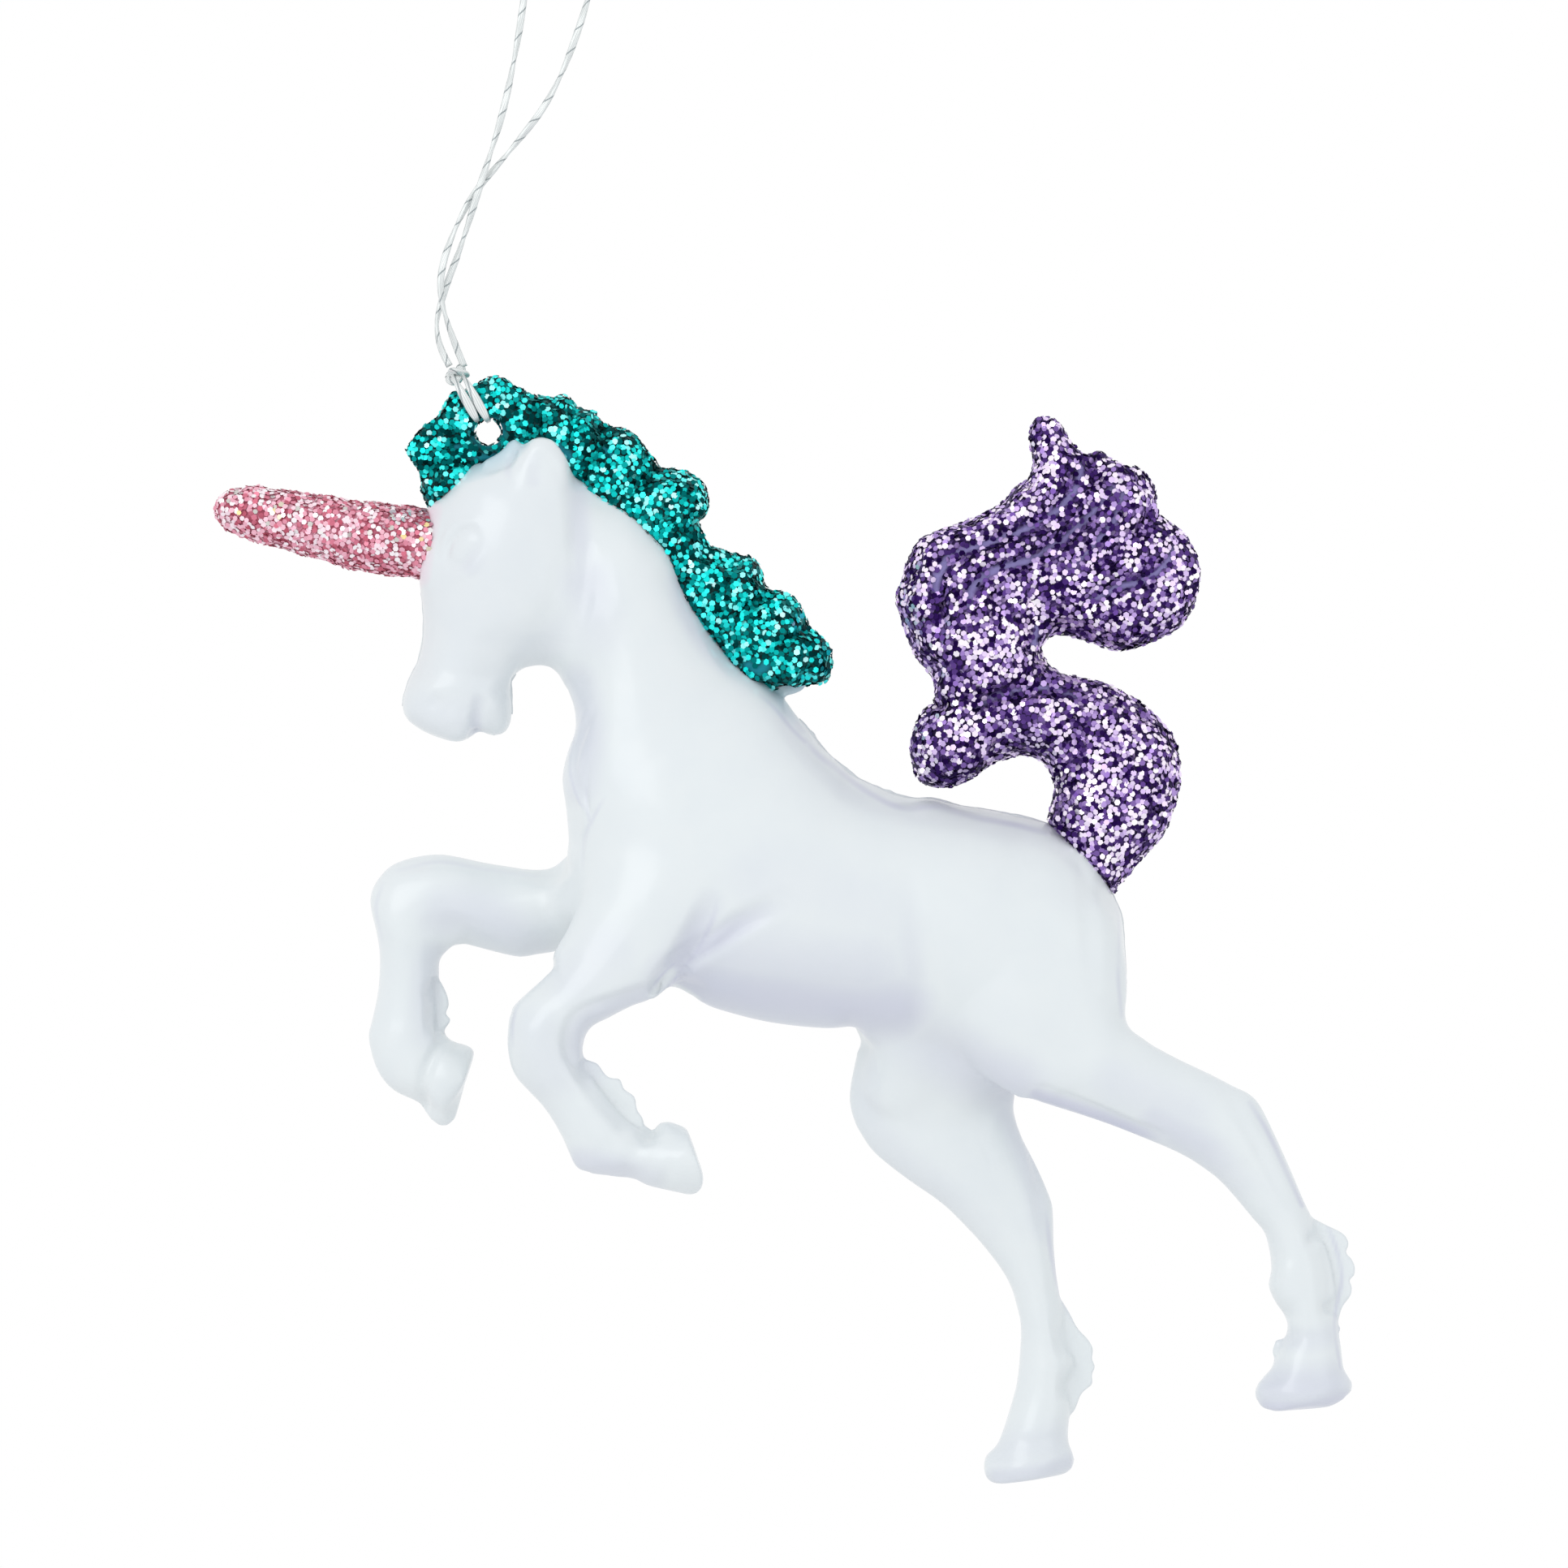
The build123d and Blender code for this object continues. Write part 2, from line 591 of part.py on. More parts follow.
# Knot that joins the cord's ends, threaded on one leg of the loop
legs = list(zip(route, route[1:]))
leg_start, leg_end = legs[int(len(legs) * loop_knot_leg_share)]
leg_way = (leg_end - leg_start).normalized()
loop_knot_middle = (leg_start + leg_end) * half
leg_side = Plane(origin=loop_knot_middle, x_dir=to_far_side, z_dir=leg_way).y_dir
loop_knot_turn = (cord_diameter + loop_knot_cord) * half + loop_knot_gap
with BuildPart() as loop_knot:
    for level in (-loop_knot_pitch, 0, loop_knot_pitch):
        with BuildSketch(Plane(origin=loop_knot_middle, x_dir=to_far_side, z_dir=leg_side)):
            with Locations((loop_knot_turn, level)):
                Circle(loop_knot_cord * half)
        revolve(axis=Axis(loop_knot_middle, leg_way))
    for side in (-loop_knot_turn, loop_knot_turn):
        end_start = loop_knot_middle + leg_way * loop_knot_pitch + to_far_side * side
        end_stop = end_start + leg_way * loop_knot_end + to_far_side * (side * end_spread_share)
        add(rod(end_start, end_stop, loop_knot_cord * end_thin_share))

for made, name in (
    (left_body_shell, "left_body_shell"),
    (right_body_shell, "right_body_shell"),
    (horn, "horn"),
    (mane, "mane"),
    (tail, "tail"),
    (cord_hitch, "cord_hitch"),
    (cord_loop, "cord_loop"),
    (loop_knot, "loop_knot"),
):
    made.part.label = name
    export_step(made.part, f"parts/{name}.step")
    print(name, len(made.part.solids()), "solid", "valid", made.part.is_valid, f"{made.part.volume:.1f} mm3")
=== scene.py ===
"""The looks of a hanging unicorn figurine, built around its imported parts.

A white moulded unicorn with a glittered horn, mane and tail hangs from a flat silver cord. Places are
given in squares on the sheet that the part's outlines are drawn on, which lies in the figure's middle
plane, and lengths are metres. The near side faces -Y and the figure faces -X.
"""

import itertools
import logging
import math
from collections.abc import Iterator
from contextlib import contextmanager
from dataclasses import dataclass
from enum import Enum

import bpy
import numpy as np
from bpy.types import ID, Material, Mesh, Node, NodeSocket, NodeTree, Object
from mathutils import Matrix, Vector, noise
from mathutils.kdtree import KDTree


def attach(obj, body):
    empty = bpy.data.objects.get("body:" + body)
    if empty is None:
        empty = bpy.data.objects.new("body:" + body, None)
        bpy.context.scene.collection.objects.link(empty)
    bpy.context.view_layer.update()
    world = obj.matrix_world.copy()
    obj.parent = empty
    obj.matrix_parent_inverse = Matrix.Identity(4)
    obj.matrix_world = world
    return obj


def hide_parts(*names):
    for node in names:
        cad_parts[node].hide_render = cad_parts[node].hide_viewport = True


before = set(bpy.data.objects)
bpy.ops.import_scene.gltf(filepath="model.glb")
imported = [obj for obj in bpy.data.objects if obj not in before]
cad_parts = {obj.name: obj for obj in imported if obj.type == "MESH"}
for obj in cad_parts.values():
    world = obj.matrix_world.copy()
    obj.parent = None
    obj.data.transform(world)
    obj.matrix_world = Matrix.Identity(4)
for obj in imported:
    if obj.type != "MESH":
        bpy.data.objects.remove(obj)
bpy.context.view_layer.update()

LOG = logging.getLogger("unicorn")
MM = 0.001
SPREAD = Vector((0.0, 1.0, 0.0))
LEAST_SHARE = 0.02  # softening weaker than this is left out
BARE_GAIN = 1.3  # how much barer the ground is than its flakes are sparse
OUTLINE_STEP, PLATE_STEP = 0.4, 0.25  # squares between the points of an evened outline
HOLLOW_TURN = -0.75  # an outline that turns in this sharply is a crease, which no rim is drawn to
RIM_FACING = 0.55  # vertices whose normals lean less to the side than this are on the rim
BESIDE = 0.3  # squares along the outline within which a rim vertex is compared with it
Point = tuple[float, ...]
Path = tuple[Point, ...]


@dataclass(frozen=True)
class Sheet:
    """The squared sheet in the figure's middle plane.

    Args:
        square: side of one square.
        crown: the place of the cord's crown, which is the frame's origin.
    """

    square: float = 0.75 * MM
    crown: Point = (70.9, -40.0)

    def place(self, across: float, down: float, y: float = 0.0) -> Vector:
        """Give the point in the frame of a place on the sheet, y off the middle plane."""
        return Vector(((across - self.crown[0]) * self.square, y, (self.crown[1] - down) * self.square))

    def squares(self, points: np.ndarray) -> np.ndarray:
        """Give the places on the sheet of points in the frame."""
        return np.column_stack(
            (points[:, 0] / self.square + self.crown[0], self.crown[1] - points[:, 2] / self.square)
        )


SHEET = Sheet()


def tint(red: int, green: int, blue: int) -> tuple[float, float, float, float]:
    """Turn a colour as it shows on a screen, 0 to 255, into a shader's linear colour."""
    shown = [part / 255.0 for part in (red, green, blue)]
    linear = [part / 12.92 if part <= 0.04045 else ((part + 0.055) / 1.055) ** 2.4 for part in shown]
    return (*linear, 1.0)


# Hands: small steps that every piece is made with


def held(values: np.ndarray) -> np.ndarray:
    """Hold values between 0 and 1."""
    return np.clip(values, 0.0, 1.0)


def unit(rows: np.ndarray) -> np.ndarray:
    """Give each row the length one."""
    return rows / np.linalg.norm(rows, axis=1)[:, None]


def write_values(piece: Object, name: str, values: np.ndarray) -> None:
    """Write one value for each vertex of a piece, for its finish to read."""
    attribute = piece.data.attributes.new(name, "FLOAT", "POINT")
    attribute.data.foreach_set("value", values.astype(np.float32))


def placed(name: str, data: ID) -> Object:
    """Put data into the scene as a new object."""
    thing = bpy.data.objects.new(name, data)
    bpy.context.scene.collection.objects.link(thing)
    return thing


def built(name: str, verts: list[Vector], faces: list[tuple[int, ...]]) -> Object:
    """Put a new mesh of these vertices and faces into the scene."""
    mesh = bpy.data.meshes.new(name)
    mesh.from_pydata(verts, [], faces)
    return placed(name, mesh)


def pick(*things: Object) -> None:
    """Select these objects alone, the first of them active."""
    bpy.ops.object.select_all(action="DESELECT")
    for thing in things:
        thing.select_set(True)
    bpy.context.view_layer.objects.active = things[0]


@contextmanager
def editing(piece: Object) -> Iterator[None]:
    """Keep a piece open in edit mode with all of it selected."""
    pick(piece)
    bpy.ops.object.mode_set(mode="EDIT")
    bpy.ops.mesh.select_all(action="SELECT")
    yield
    bpy.ops.object.mode_set(mode="OBJECT")


def apply_modifier(piece: Object, kind: str, **settings: object) -> None:
    """Add one modifier to a piece, set it and apply it.

    Args:
        piece: the mesh object.
        kind: the modifier's type.
        settings: what is set on it.
    """
    pick(piece)
    modifier = piece.modifiers.new(kind.title(), kind)
    for name, value in settings.items():
        setattr(modifier, name, value)
    bpy.ops.object.modifier_apply(modifier=modifier.name)


def smoothed(piece: Object, passes: int, **settings: object) -> None:
    """Smooth a mesh in several passes."""
    apply_modifier(piece, "SMOOTH", factor=0.5, iterations=passes, **settings)


def merge_doubles(piece: Object, distance: float = 0.001 * MM) -> None:
    """Merge a piece's vertices that lie no further apart than a distance."""
    with editing(piece):
        bpy.ops.mesh.remove_doubles(threshold=distance)


def joined(pieces: list[Object], name: str) -> Object:
    """Join pieces into the first of them.

    Args:
        pieces: the mesh objects.
        name: the joined piece's name.

    Returns:
        The joined piece.
    """
    pick(*pieces)
    if len(pieces) > 1:
        bpy.ops.object.join()
    pieces[0].name = name
    pieces[0].data.name = name
    return pieces[0]


def forget(mesh: Mesh) -> None:
    """Drop the sharp edges, set normals and maps that a mesh was packed with."""
    for name in ("sharp_edge", "sharp_face", "custom_normal"):
        if name in mesh.attributes:
            mesh.attributes.remove(mesh.attributes[name])
    while mesh.uv_layers:
        mesh.uv_layers.remove(mesh.uv_layers[0])


def node_copy(name: str, *nodes: str) -> Object:
    """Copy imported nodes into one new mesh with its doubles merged.

    Args:
        name: the new piece's name.
        nodes: the nodes that are copied.

    Returns:
        The new piece.
    """
    copies = []
    for node in nodes:
        made = placed(name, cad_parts[node].data.copy())
        made.data.materials.clear()
        forget(made.data)
        merge_doubles(made)
        copies.append(made)
    return joined(copies, name)


def keep_largest(piece: Object) -> None:
    """Drop all but the largest loose part of a mesh."""
    pick(piece)
    bpy.ops.mesh.separate(type="LOOSE")
    parts = list(bpy.context.selected_objects)
    largest = max(parts, key=lambda part: len(part.data.vertices))
    for part in parts:
        if part is not piece and part is not largest:
            bpy.data.meshes.remove(part.data)
    if largest is not piece:
        piece.data = largest.data
        bpy.data.objects.remove(largest)


def moulded(piece: Object, voxel: float, softening: int) -> None:
    """Turn a mesh into one even closed skin and soften it.

    Args:
        piece: the mesh object.
        voxel: size of the skin's squares.
        softening: passes of smoothing.
    """
    pick(piece)
    piece.data.remesh_voxel_size = voxel
    piece.data.remesh_voxel_adaptivity = 0.0
    piece.data.use_remesh_preserve_attributes = False
    bpy.ops.object.voxel_remesh()
    forget(piece.data)
    keep_largest(piece)
    if softening:
        smoothed(piece, softening)


def read_points(mesh: Mesh) -> tuple[np.ndarray, np.ndarray]:
    """Read a mesh's vertices and their normals.

    Args:
        mesh: the mesh.

    Returns:
        The places and the normals, as rows of three.
    """
    places = np.empty(len(mesh.vertices) * 3, np.float32)
    mesh.vertices.foreach_get("co", places)
    normals = np.empty(len(mesh.vertices) * 3, np.float32)
    mesh.vertex_normals.foreach_get("vector", normals)
    return places.reshape(-1, 3).astype(float), normals.reshape(-1, 3).astype(float)


def write_points(mesh: Mesh, places: np.ndarray) -> None:
    """Write a mesh's vertices back from rows of x, y and z."""
    mesh.vertices.foreach_set("co", places.astype(np.float32).ravel())
    mesh.update()


def smooth_path(path: Path, steps: int = 5) -> np.ndarray:
    """Round a drawn path off by passing a smooth curve through its places.

    Args:
        path: places on the sheet, each with the strength of the stroke there as a third number if it varies.
        steps: points to each stretch.

    Returns:
        Rows of across, down and strength.
    """
    rows = np.array([(*place, 1.0)[:3] for place in path], float)
    if len(rows) < 3:
        return rows
    padded = np.vstack((2 * rows[0] - rows[1], rows, 2 * rows[-1] - rows[-2]))
    made = []
    for index in range(1, len(padded) - 2):
        before, start, end, after = padded[index - 1 : index + 3]
        for step in range(steps):
            t = step / steps
            place = 2 * start + (end - before) * t + (2 * before - 5 * start + 4 * end - after) * t**2
            made.append(0.5 * (place + (3 * start - before - 3 * end + after) * t**3))
    made.append(rows[-1])
    return np.array(made)


def nearness(points: np.ndarray, path: Path) -> tuple[np.ndarray, np.ndarray]:
    """Measure how far points on the sheet lie from a path, and the path's strength nearest to each.

    Args:
        points: rows of across and down.
        path: the path.

    Returns:
        The distances in squares, and the strengths.
    """
    rows = smooth_path(path)
    nearest = np.full(len(points), 1e9)
    strength = np.ones(len(points))
    if len(rows) == 1:
        return np.linalg.norm(points - rows[0, :2], axis=1), strength * rows[0, 2]
    for start, end in zip(rows, rows[1:]):
        run = end[:2] - start[:2]
        share = held((points - start[:2]) @ run / max(run @ run, 1e-12))
        distance = np.linalg.norm(points - start[:2] - share[:, None] * run, axis=1)
        closer = distance < nearest
        nearest[closer] = distance[closer]
        strength[closer] = (start[2] + (end[2] - start[2]) * share)[closer]
    return nearest, strength


class Side(Enum):
    """The faces that a stroke works on."""

    NEAR = "near"
    FAR = "far"
    BOTH = "both"
    INNER_FAR = "inner far"
    ALL = "all round"


@dataclass(frozen=True)
class Stroke:
    """One pass of a modelling tool along a path on the sheet.

    Args:
        lift: how far it raises the surface, or sinks it below zero, in millimetres.
        radius: reach of the tool in squares.
        path: the places it passes, each with its strength there if that varies.
        side: the faces it works on.
        wrap: how far round towards the outline it reaches, from 0 to 1.
    """

    lift: float
    radius: float
    path: Path
    side: Side = Side.BOTH
    wrap: float = 0.35

    def weights(self, places: np.ndarray, normals: np.ndarray) -> np.ndarray:
        """Work out one weight for each vertex from its place and normal."""
        distance, strength = nearness(SHEET.squares(places), self.path)
        falloff = held(1.0 - (distance / self.radius) ** 2) ** 2 * strength
        facing = normals[:, 1] / max(self.wrap, 1e-3)
        towards, away = held(-facing), held(facing)
        near, far = places[:, 1] < 0.0, places[:, 1] >= 0.0
        shown = {
            Side.NEAR: near * towards,
            Side.FAR: far * away,
            Side.BOTH: near * towards + far * away,
            Side.INNER_FAR: far * towards,
            Side.ALL: np.ones(len(places)),
        }[self.side]
        return falloff * shown


def strokes(
    *rows: tuple[float, float, Path], side: Side = Side.BOTH, wrap: float = Stroke.wrap
) -> tuple[Stroke, ...]:
    """Make several strokes that work on the same faces."""
    return tuple(Stroke(lift, radius, path, side, wrap) for lift, radius, path in rows)


def strongest(marks: tuple[Stroke, ...], places: np.ndarray, normals: np.ndarray) -> np.ndarray:
    """Take the strongest of several strokes at each vertex, each by its weight and lift."""
    total = np.zeros(len(places))
    for mark in marks:
        total = np.maximum(total, mark.weights(places, normals) * mark.lift)
    return total


def sculpt(piece: Object, marks: tuple[Stroke, ...]) -> None:
    """Work a set of strokes into a mesh, one after the other."""
    for stroke in marks:
        places, normals = read_points(piece.data)
        moved = places + normals * (stroke.weights(places, normals) * stroke.lift * MM)[:, None]
        write_points(piece.data, moved)


def soften(piece: Object, marks: tuple[Stroke, ...], passes: int) -> None:
    """Smooth a mesh along strokes only.

    Args:
        piece: the mesh object.
        marks: where, with each lift as the share of the smoothing.
        passes: passes of smoothing.
    """
    total = strongest(marks, *read_points(piece.data))
    group = piece.vertex_groups.new(name="soften")
    for index in np.nonzero(total > LEAST_SHARE)[0]:
        group.add([int(index)], float(min(total[index], 1.0)), "REPLACE")
    smoothed(piece, passes, vertex_group=group.name)
    piece.vertex_groups.clear()


def even_line(outline: Path, spacing: float, closed: bool) -> np.ndarray:
    """Space points evenly along a smooth outline."""
    rows = smooth_path((*outline, outline[0]) if closed else outline, 6)[:, :2]
    reach = np.concatenate(([0.0], np.cumsum(np.linalg.norm(np.diff(rows, axis=0), axis=1))))
    marks = np.linspace(0.0, reach[-1], max(int(reach[-1] / spacing), 8), endpoint=not closed)
    return np.column_stack([np.interp(marks, reach, rows[:, column]) for column in (0, 1)])


def fit_outline(
    piece: Object, outline: Path, closed: bool = True, inset: float = 0.0, reach: float = 2.6, passes: int = 2
) -> None:
    """Draw a piece's rim out or in until it meets an outline that runs clockwise.

    Args:
        piece: the mesh object.
        outline: the outline on the sheet.
        closed: whether it closes on itself.
        inset: squares that the rim stays inside it.
        reach: how far from the outline the skin follows, in squares.
        passes: times it is done.
    """
    line = even_line(outline, OUTLINE_STEP, closed)
    ahead = np.roll(line, -1, axis=0) - np.roll(line, 1, axis=0) if closed else np.gradient(line, axis=0)
    ahead = unit(ahead)
    out = np.column_stack((ahead[:, 1], -ahead[:, 0]))
    before, after = np.roll(ahead, 3, axis=0), np.roll(ahead, -3, axis=0)
    hollow = before[:, 0] * after[:, 1] - before[:, 1] * after[:, 0] < HOLLOW_TURN
    line = line - out * inset
    tree = KDTree(len(line))
    for index, (across, down) in enumerate(line):
        tree.insert((across, down, 0.0), index)
    tree.balance()
    shares = np.array((1.0, 2.0, 3.0, 2.0, 1.0)) / 9.0
    for turn in range(passes + 1):
        places, normals = read_points(piece.data)
        flat = SHEET.squares(places)
        found = [tree.find((across, down, 0.0))[1:] for across, down in flat]
        nearest = np.array([index for index, _ in found])
        distance = np.array([apart for _, apart in found])
        height = ((flat - line[nearest]) * out[nearest]).sum(1)
        if turn == passes:
            over = np.where((height > 0.0) & (distance < 2.0 * reach), distance, 0.0)
            move = -(flat - line[nearest]) * (over > 0.0)[:, None]
        else:
            rim = flat[np.abs(normals[:, 1]) < RIM_FACING]
            gaps = np.zeros(len(line))
            for index in np.nonzero(~hollow)[0]:
                apart = rim - line[index]
                above = apart @ out[index]
                beside = above[(np.abs(apart @ ahead[index]) < BESIDE) & (above > -reach) & (above < 0.5 * reach)]
                gaps[index] = beside.max() if len(beside) else 0.0
            padded = np.concatenate((gaps[-2:], gaps, gaps[:2])) if closed else np.pad(gaps, 2, mode="edge")
            gaps = np.convolve(padded, shares, mode="valid")
            falloff = held(1.0 - (distance / reach) ** 2) ** 2
            move = -out[nearest] * (gaps[nearest] * falloff)[:, None]
        places[:, 0] += move[:, 0] * SHEET.square
        places[:, 2] -= move[:, 1] * SHEET.square
        write_points(piece.data, places)


def shade_smooth(piece: Object) -> None:
    """Shade a piece smooth."""
    pick(piece)
    bpy.ops.object.shade_smooth()


def close_up(piece: Object) -> Object:
    """Turn a closed mesh's normals outwards and shade it smooth."""
    with editing(piece):
        bpy.ops.mesh.normals_make_consistent(inside=False)
    shade_smooth(piece)
    return piece


def settle(piece: Object, body: str, slot: str, *nodes: str) -> None:
    """Make a finished piece ride on its body and stand for the nodes it replaces.

    Args:
        piece: the mesh object.
        body: the body it rides on.
        slot: a material slot's name; not used.
        nodes: the nodes that it stands for.
    """
    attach(piece, body)
    if nodes:
        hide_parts(*nodes)
    LOG.info("%s: %d vertices, rides on %s", piece.name, len(piece.data.vertices), body)


# Finishes


def set_up(node: Node, **settings: object) -> None:
    """Set a node; a setting named in_X or in_0 sets an input, any other an attribute.

    Args:
        node: the node.
        settings: what is set on it.
    """
    for name, value in settings.items():
        if name.startswith("in_"):
            key = name[3:].replace("_", " ")
            node.inputs[int(key) if key.isdigit() else key].default_value = value
        else:
            setattr(node, name, value)


class Nodes:
    """A material or group under construction, with short ways to add and join its nodes."""

    def __init__(self, tree: NodeTree) -> None:
        """Keep the tree that nodes are added to."""
        self.tree = tree

    def add(self, kind: str, **settings: object) -> Node:
        """Add a node of a kind and set it up."""
        node = self.tree.nodes.new(kind)
        set_up(node, **settings)
        return node

    def join(self, source: NodeSocket, target: NodeSocket) -> None:
        """Join an output to an input."""
        self.tree.links.new(source, target)

    def feed(self, value: object, target: NodeSocket) -> None:
        """Join a socket to an input, or set the input to a number or colour."""
        if isinstance(value, NodeSocket):
            self.join(value, target)
        else:
            target.default_value = value

    def split(self, colour: NodeSocket) -> tuple[NodeSocket, ...]:
        """Part a colour into its red, green and blue."""
        node = self.add("ShaderNodeSeparateColor")
        self.join(colour, node.inputs["Color"])
        return tuple(node.outputs)

    def bump(self, height: NodeSocket, shader: Node, strength: float, distance: float) -> None:
        """Let a height bump the surface that a shader shades."""
        node = self.add("ShaderNodeBump", in_Strength=strength, in_Distance=distance)
        self.join(height, node.inputs["Height"])
        self.join(node.outputs["Normal"], shader.inputs["Normal"])

    def ramp(self, source: NodeSocket, stops: tuple[tuple[float, tuple], ...]) -> NodeSocket:
        """Colour a value by a ramp.

        Args:
            source: the value.
            stops: each stop's place and colour.

        Returns:
            The colour.
        """
        node = self.add("ShaderNodeValToRGB")
        elements = node.color_ramp.elements
        while len(elements) > 1:
            elements.remove(elements[0])
        elements[0].position, elements[0].color = stops[0]
        for position, colour in stops[1:]:
            elements.new(position).color = colour
        self.join(source, node.inputs["Fac"])
        return node.outputs["Color"]

    def blend(self, share: NodeSocket | float, low: NodeSocket | tuple, high: NodeSocket | tuple) -> NodeSocket:
        """Mix two colours."""
        node = self.add("ShaderNodeMix", data_type="RGBA")
        for value, index in ((share, 0), (low, 6), (high, 7)):
            self.feed(value, node.inputs[index])
        return node.outputs[2]

    def sum(self, operation: str, *values: object) -> NodeSocket:
        """Do one sum."""
        node = self.add("ShaderNodeMath", operation=operation)
        for value, target in zip(values, node.inputs):
            self.feed(value, target)
        return node.outputs[0]


def new_material(name: str) -> tuple[Material, Nodes, Node]:
    """Start a material."""
    material = bpy.data.materials.new(name)
    material.use_nodes = True
    nodes = Nodes(material.node_tree)
    return material, nodes, material.node_tree.nodes["Principled BSDF"]


def new_group(name: str, inputs: tuple[tuple[str, float], ...], outputs: tuple[tuple[str, str], ...]) -> tuple:
    """Start a shader node group that reads Object coordinates.

    Args:
        name: its name.
        inputs: each value input's name and default.
        outputs: each output's name and socket type.

    Returns:
        The group, its nodes, its input node and its output node.
    """
    tree = bpy.data.node_groups.new(name, "ShaderNodeTree")
    for label, value in inputs:
        socket = tree.interface.new_socket(label, in_out="INPUT", socket_type="NodeSocketFloat")
        socket.default_value = value
    for label, kind in outputs:
        tree.interface.new_socket(label, in_out="OUTPUT", socket_type=kind)
    nodes = Nodes(tree)
    return tree, nodes, nodes.add("NodeGroupInput"), nodes.add("NodeGroupOutput")


def speckle_group() -> NodeTree:
    """Build the fine glitter ground: packed cells, each of its own tone and height.

    Returns:
        The group, which puts out a tone and a height.
    """
    tree, nodes, given, made = new_group(
        "glitter ground",
        (("Scale", 2200.0), ("Depth", 0.5)),
        (("Tone", "NodeSocketFloat"), ("Height", "NodeSocketFloat")),
    )
    where = nodes.add("ShaderNodeTexCoord")
    cells = nodes.add("ShaderNodeTexVoronoi", feature="F1")
    nodes.join(where.outputs["Object"], cells.inputs["Vector"])
    nodes.join(given.outputs["Scale"], cells.inputs["Scale"])
    tone, level, _ = nodes.split(cells.outputs["Color"])
    nodes.join(tone, made.inputs["Tone"])
    dome = nodes.sum("SUBTRACT", level, cells.outputs["Distance"])
    nodes.join(nodes.sum("MULTIPLY", dome, given.outputs["Depth"]), made.inputs["Height"])
    return tree


def skin_group() -> NodeTree:
    """Build the faint unevenness of moulded plastic: soft waves, fine grain and a cloudy mottle.

    Returns:
        The group, which puts out a height and a mottle.
    """
    tree, nodes, given, made = new_group(
        "moulded skin",
        (("Wave", 260.0), ("Grain", 2600.0)),
        (("Height", "NodeSocketFloat"), ("Mottle", "NodeSocketFloat")),
    )
    where = nodes.add("ShaderNodeTexCoord")
    wave = nodes.add("ShaderNodeTexNoise", in_Detail=2.0)
    grain = nodes.add("ShaderNodeTexNoise", in_Detail=3.0)
    for node, label in ((wave, "Wave"), (grain, "Grain")):
        nodes.join(where.outputs["Object"], node.inputs["Vector"])
        nodes.join(given.outputs[label], node.inputs["Scale"])
    fine = nodes.sum("MULTIPLY", grain.outputs["Fac"], 0.12)
    nodes.join(nodes.sum("ADD", wave.outputs["Fac"], fine), made.inputs["Height"])
    nodes.join(wave.outputs["Fac"], made.inputs["Mottle"])
    return tree


@dataclass(frozen=True)
class MouldedPlastic:
    """Milky white gloss plastic, stained faintly where the glitter glue begins, with shade painted into its folds,
    creases and undersides.

    Args:
        plain: the plastic's colour.
        cloudy: the colour of its cloudier places.
        painted_shade: the colour of the shade painted into folds, creases and undersides.
        horn_stain: the glue's tint round the horn's root.
        crest_stain: the glue's tint along the mane.
        roughness: how rough the plastic is.
        coat, coat_roughness: how strong and how rough the gloss over it is.
    """

    plain: Point = (233, 238, 238)
    cloudy: Point = (227, 233, 235)
    painted_shade: Point = (189, 189, 214)
    horn_stain: Point = (238, 214, 226)
    crest_stain: Point = (172, 206, 218)
    roughness: float = 0.3
    coat: float = 0.25
    coat_roughness: float = 0.15

    def build(self, group: NodeTree) -> Material:
        """Build the material.

        Args:
            group: the moulded skin group.

        Returns:
            The material.
        """
        material, nodes, shader = new_material("white plastic")
        skin = nodes.add("ShaderNodeGroup", node_tree=group)
        colour = nodes.blend(skin.outputs["Mottle"], tint(*self.plain), tint(*self.cloudy))
        # The attribute carries the horn's and the mane's glue tints and the shade painted into folds, creases and
        # undersides.
        stains = nodes.add("ShaderNodeAttribute", attribute_name="stain")
        horn, crest, painted_shade = nodes.split(stains.outputs["Color"])
        for share, stain in ((painted_shade, self.painted_shade), (crest, self.crest_stain), (horn, self.horn_stain)):
            colour = nodes.blend(share, colour, tint(*stain))
        nodes.join(colour, shader.inputs["Base Color"])
        nodes.bump(skin.outputs["Height"], shader, strength=0.25, distance=0.05 * MM)
        set_up(
            shader, in_Roughness=self.roughness, in_Coat_Weight=self.coat, in_Coat_Roughness=self.coat_roughness
        )
        return material


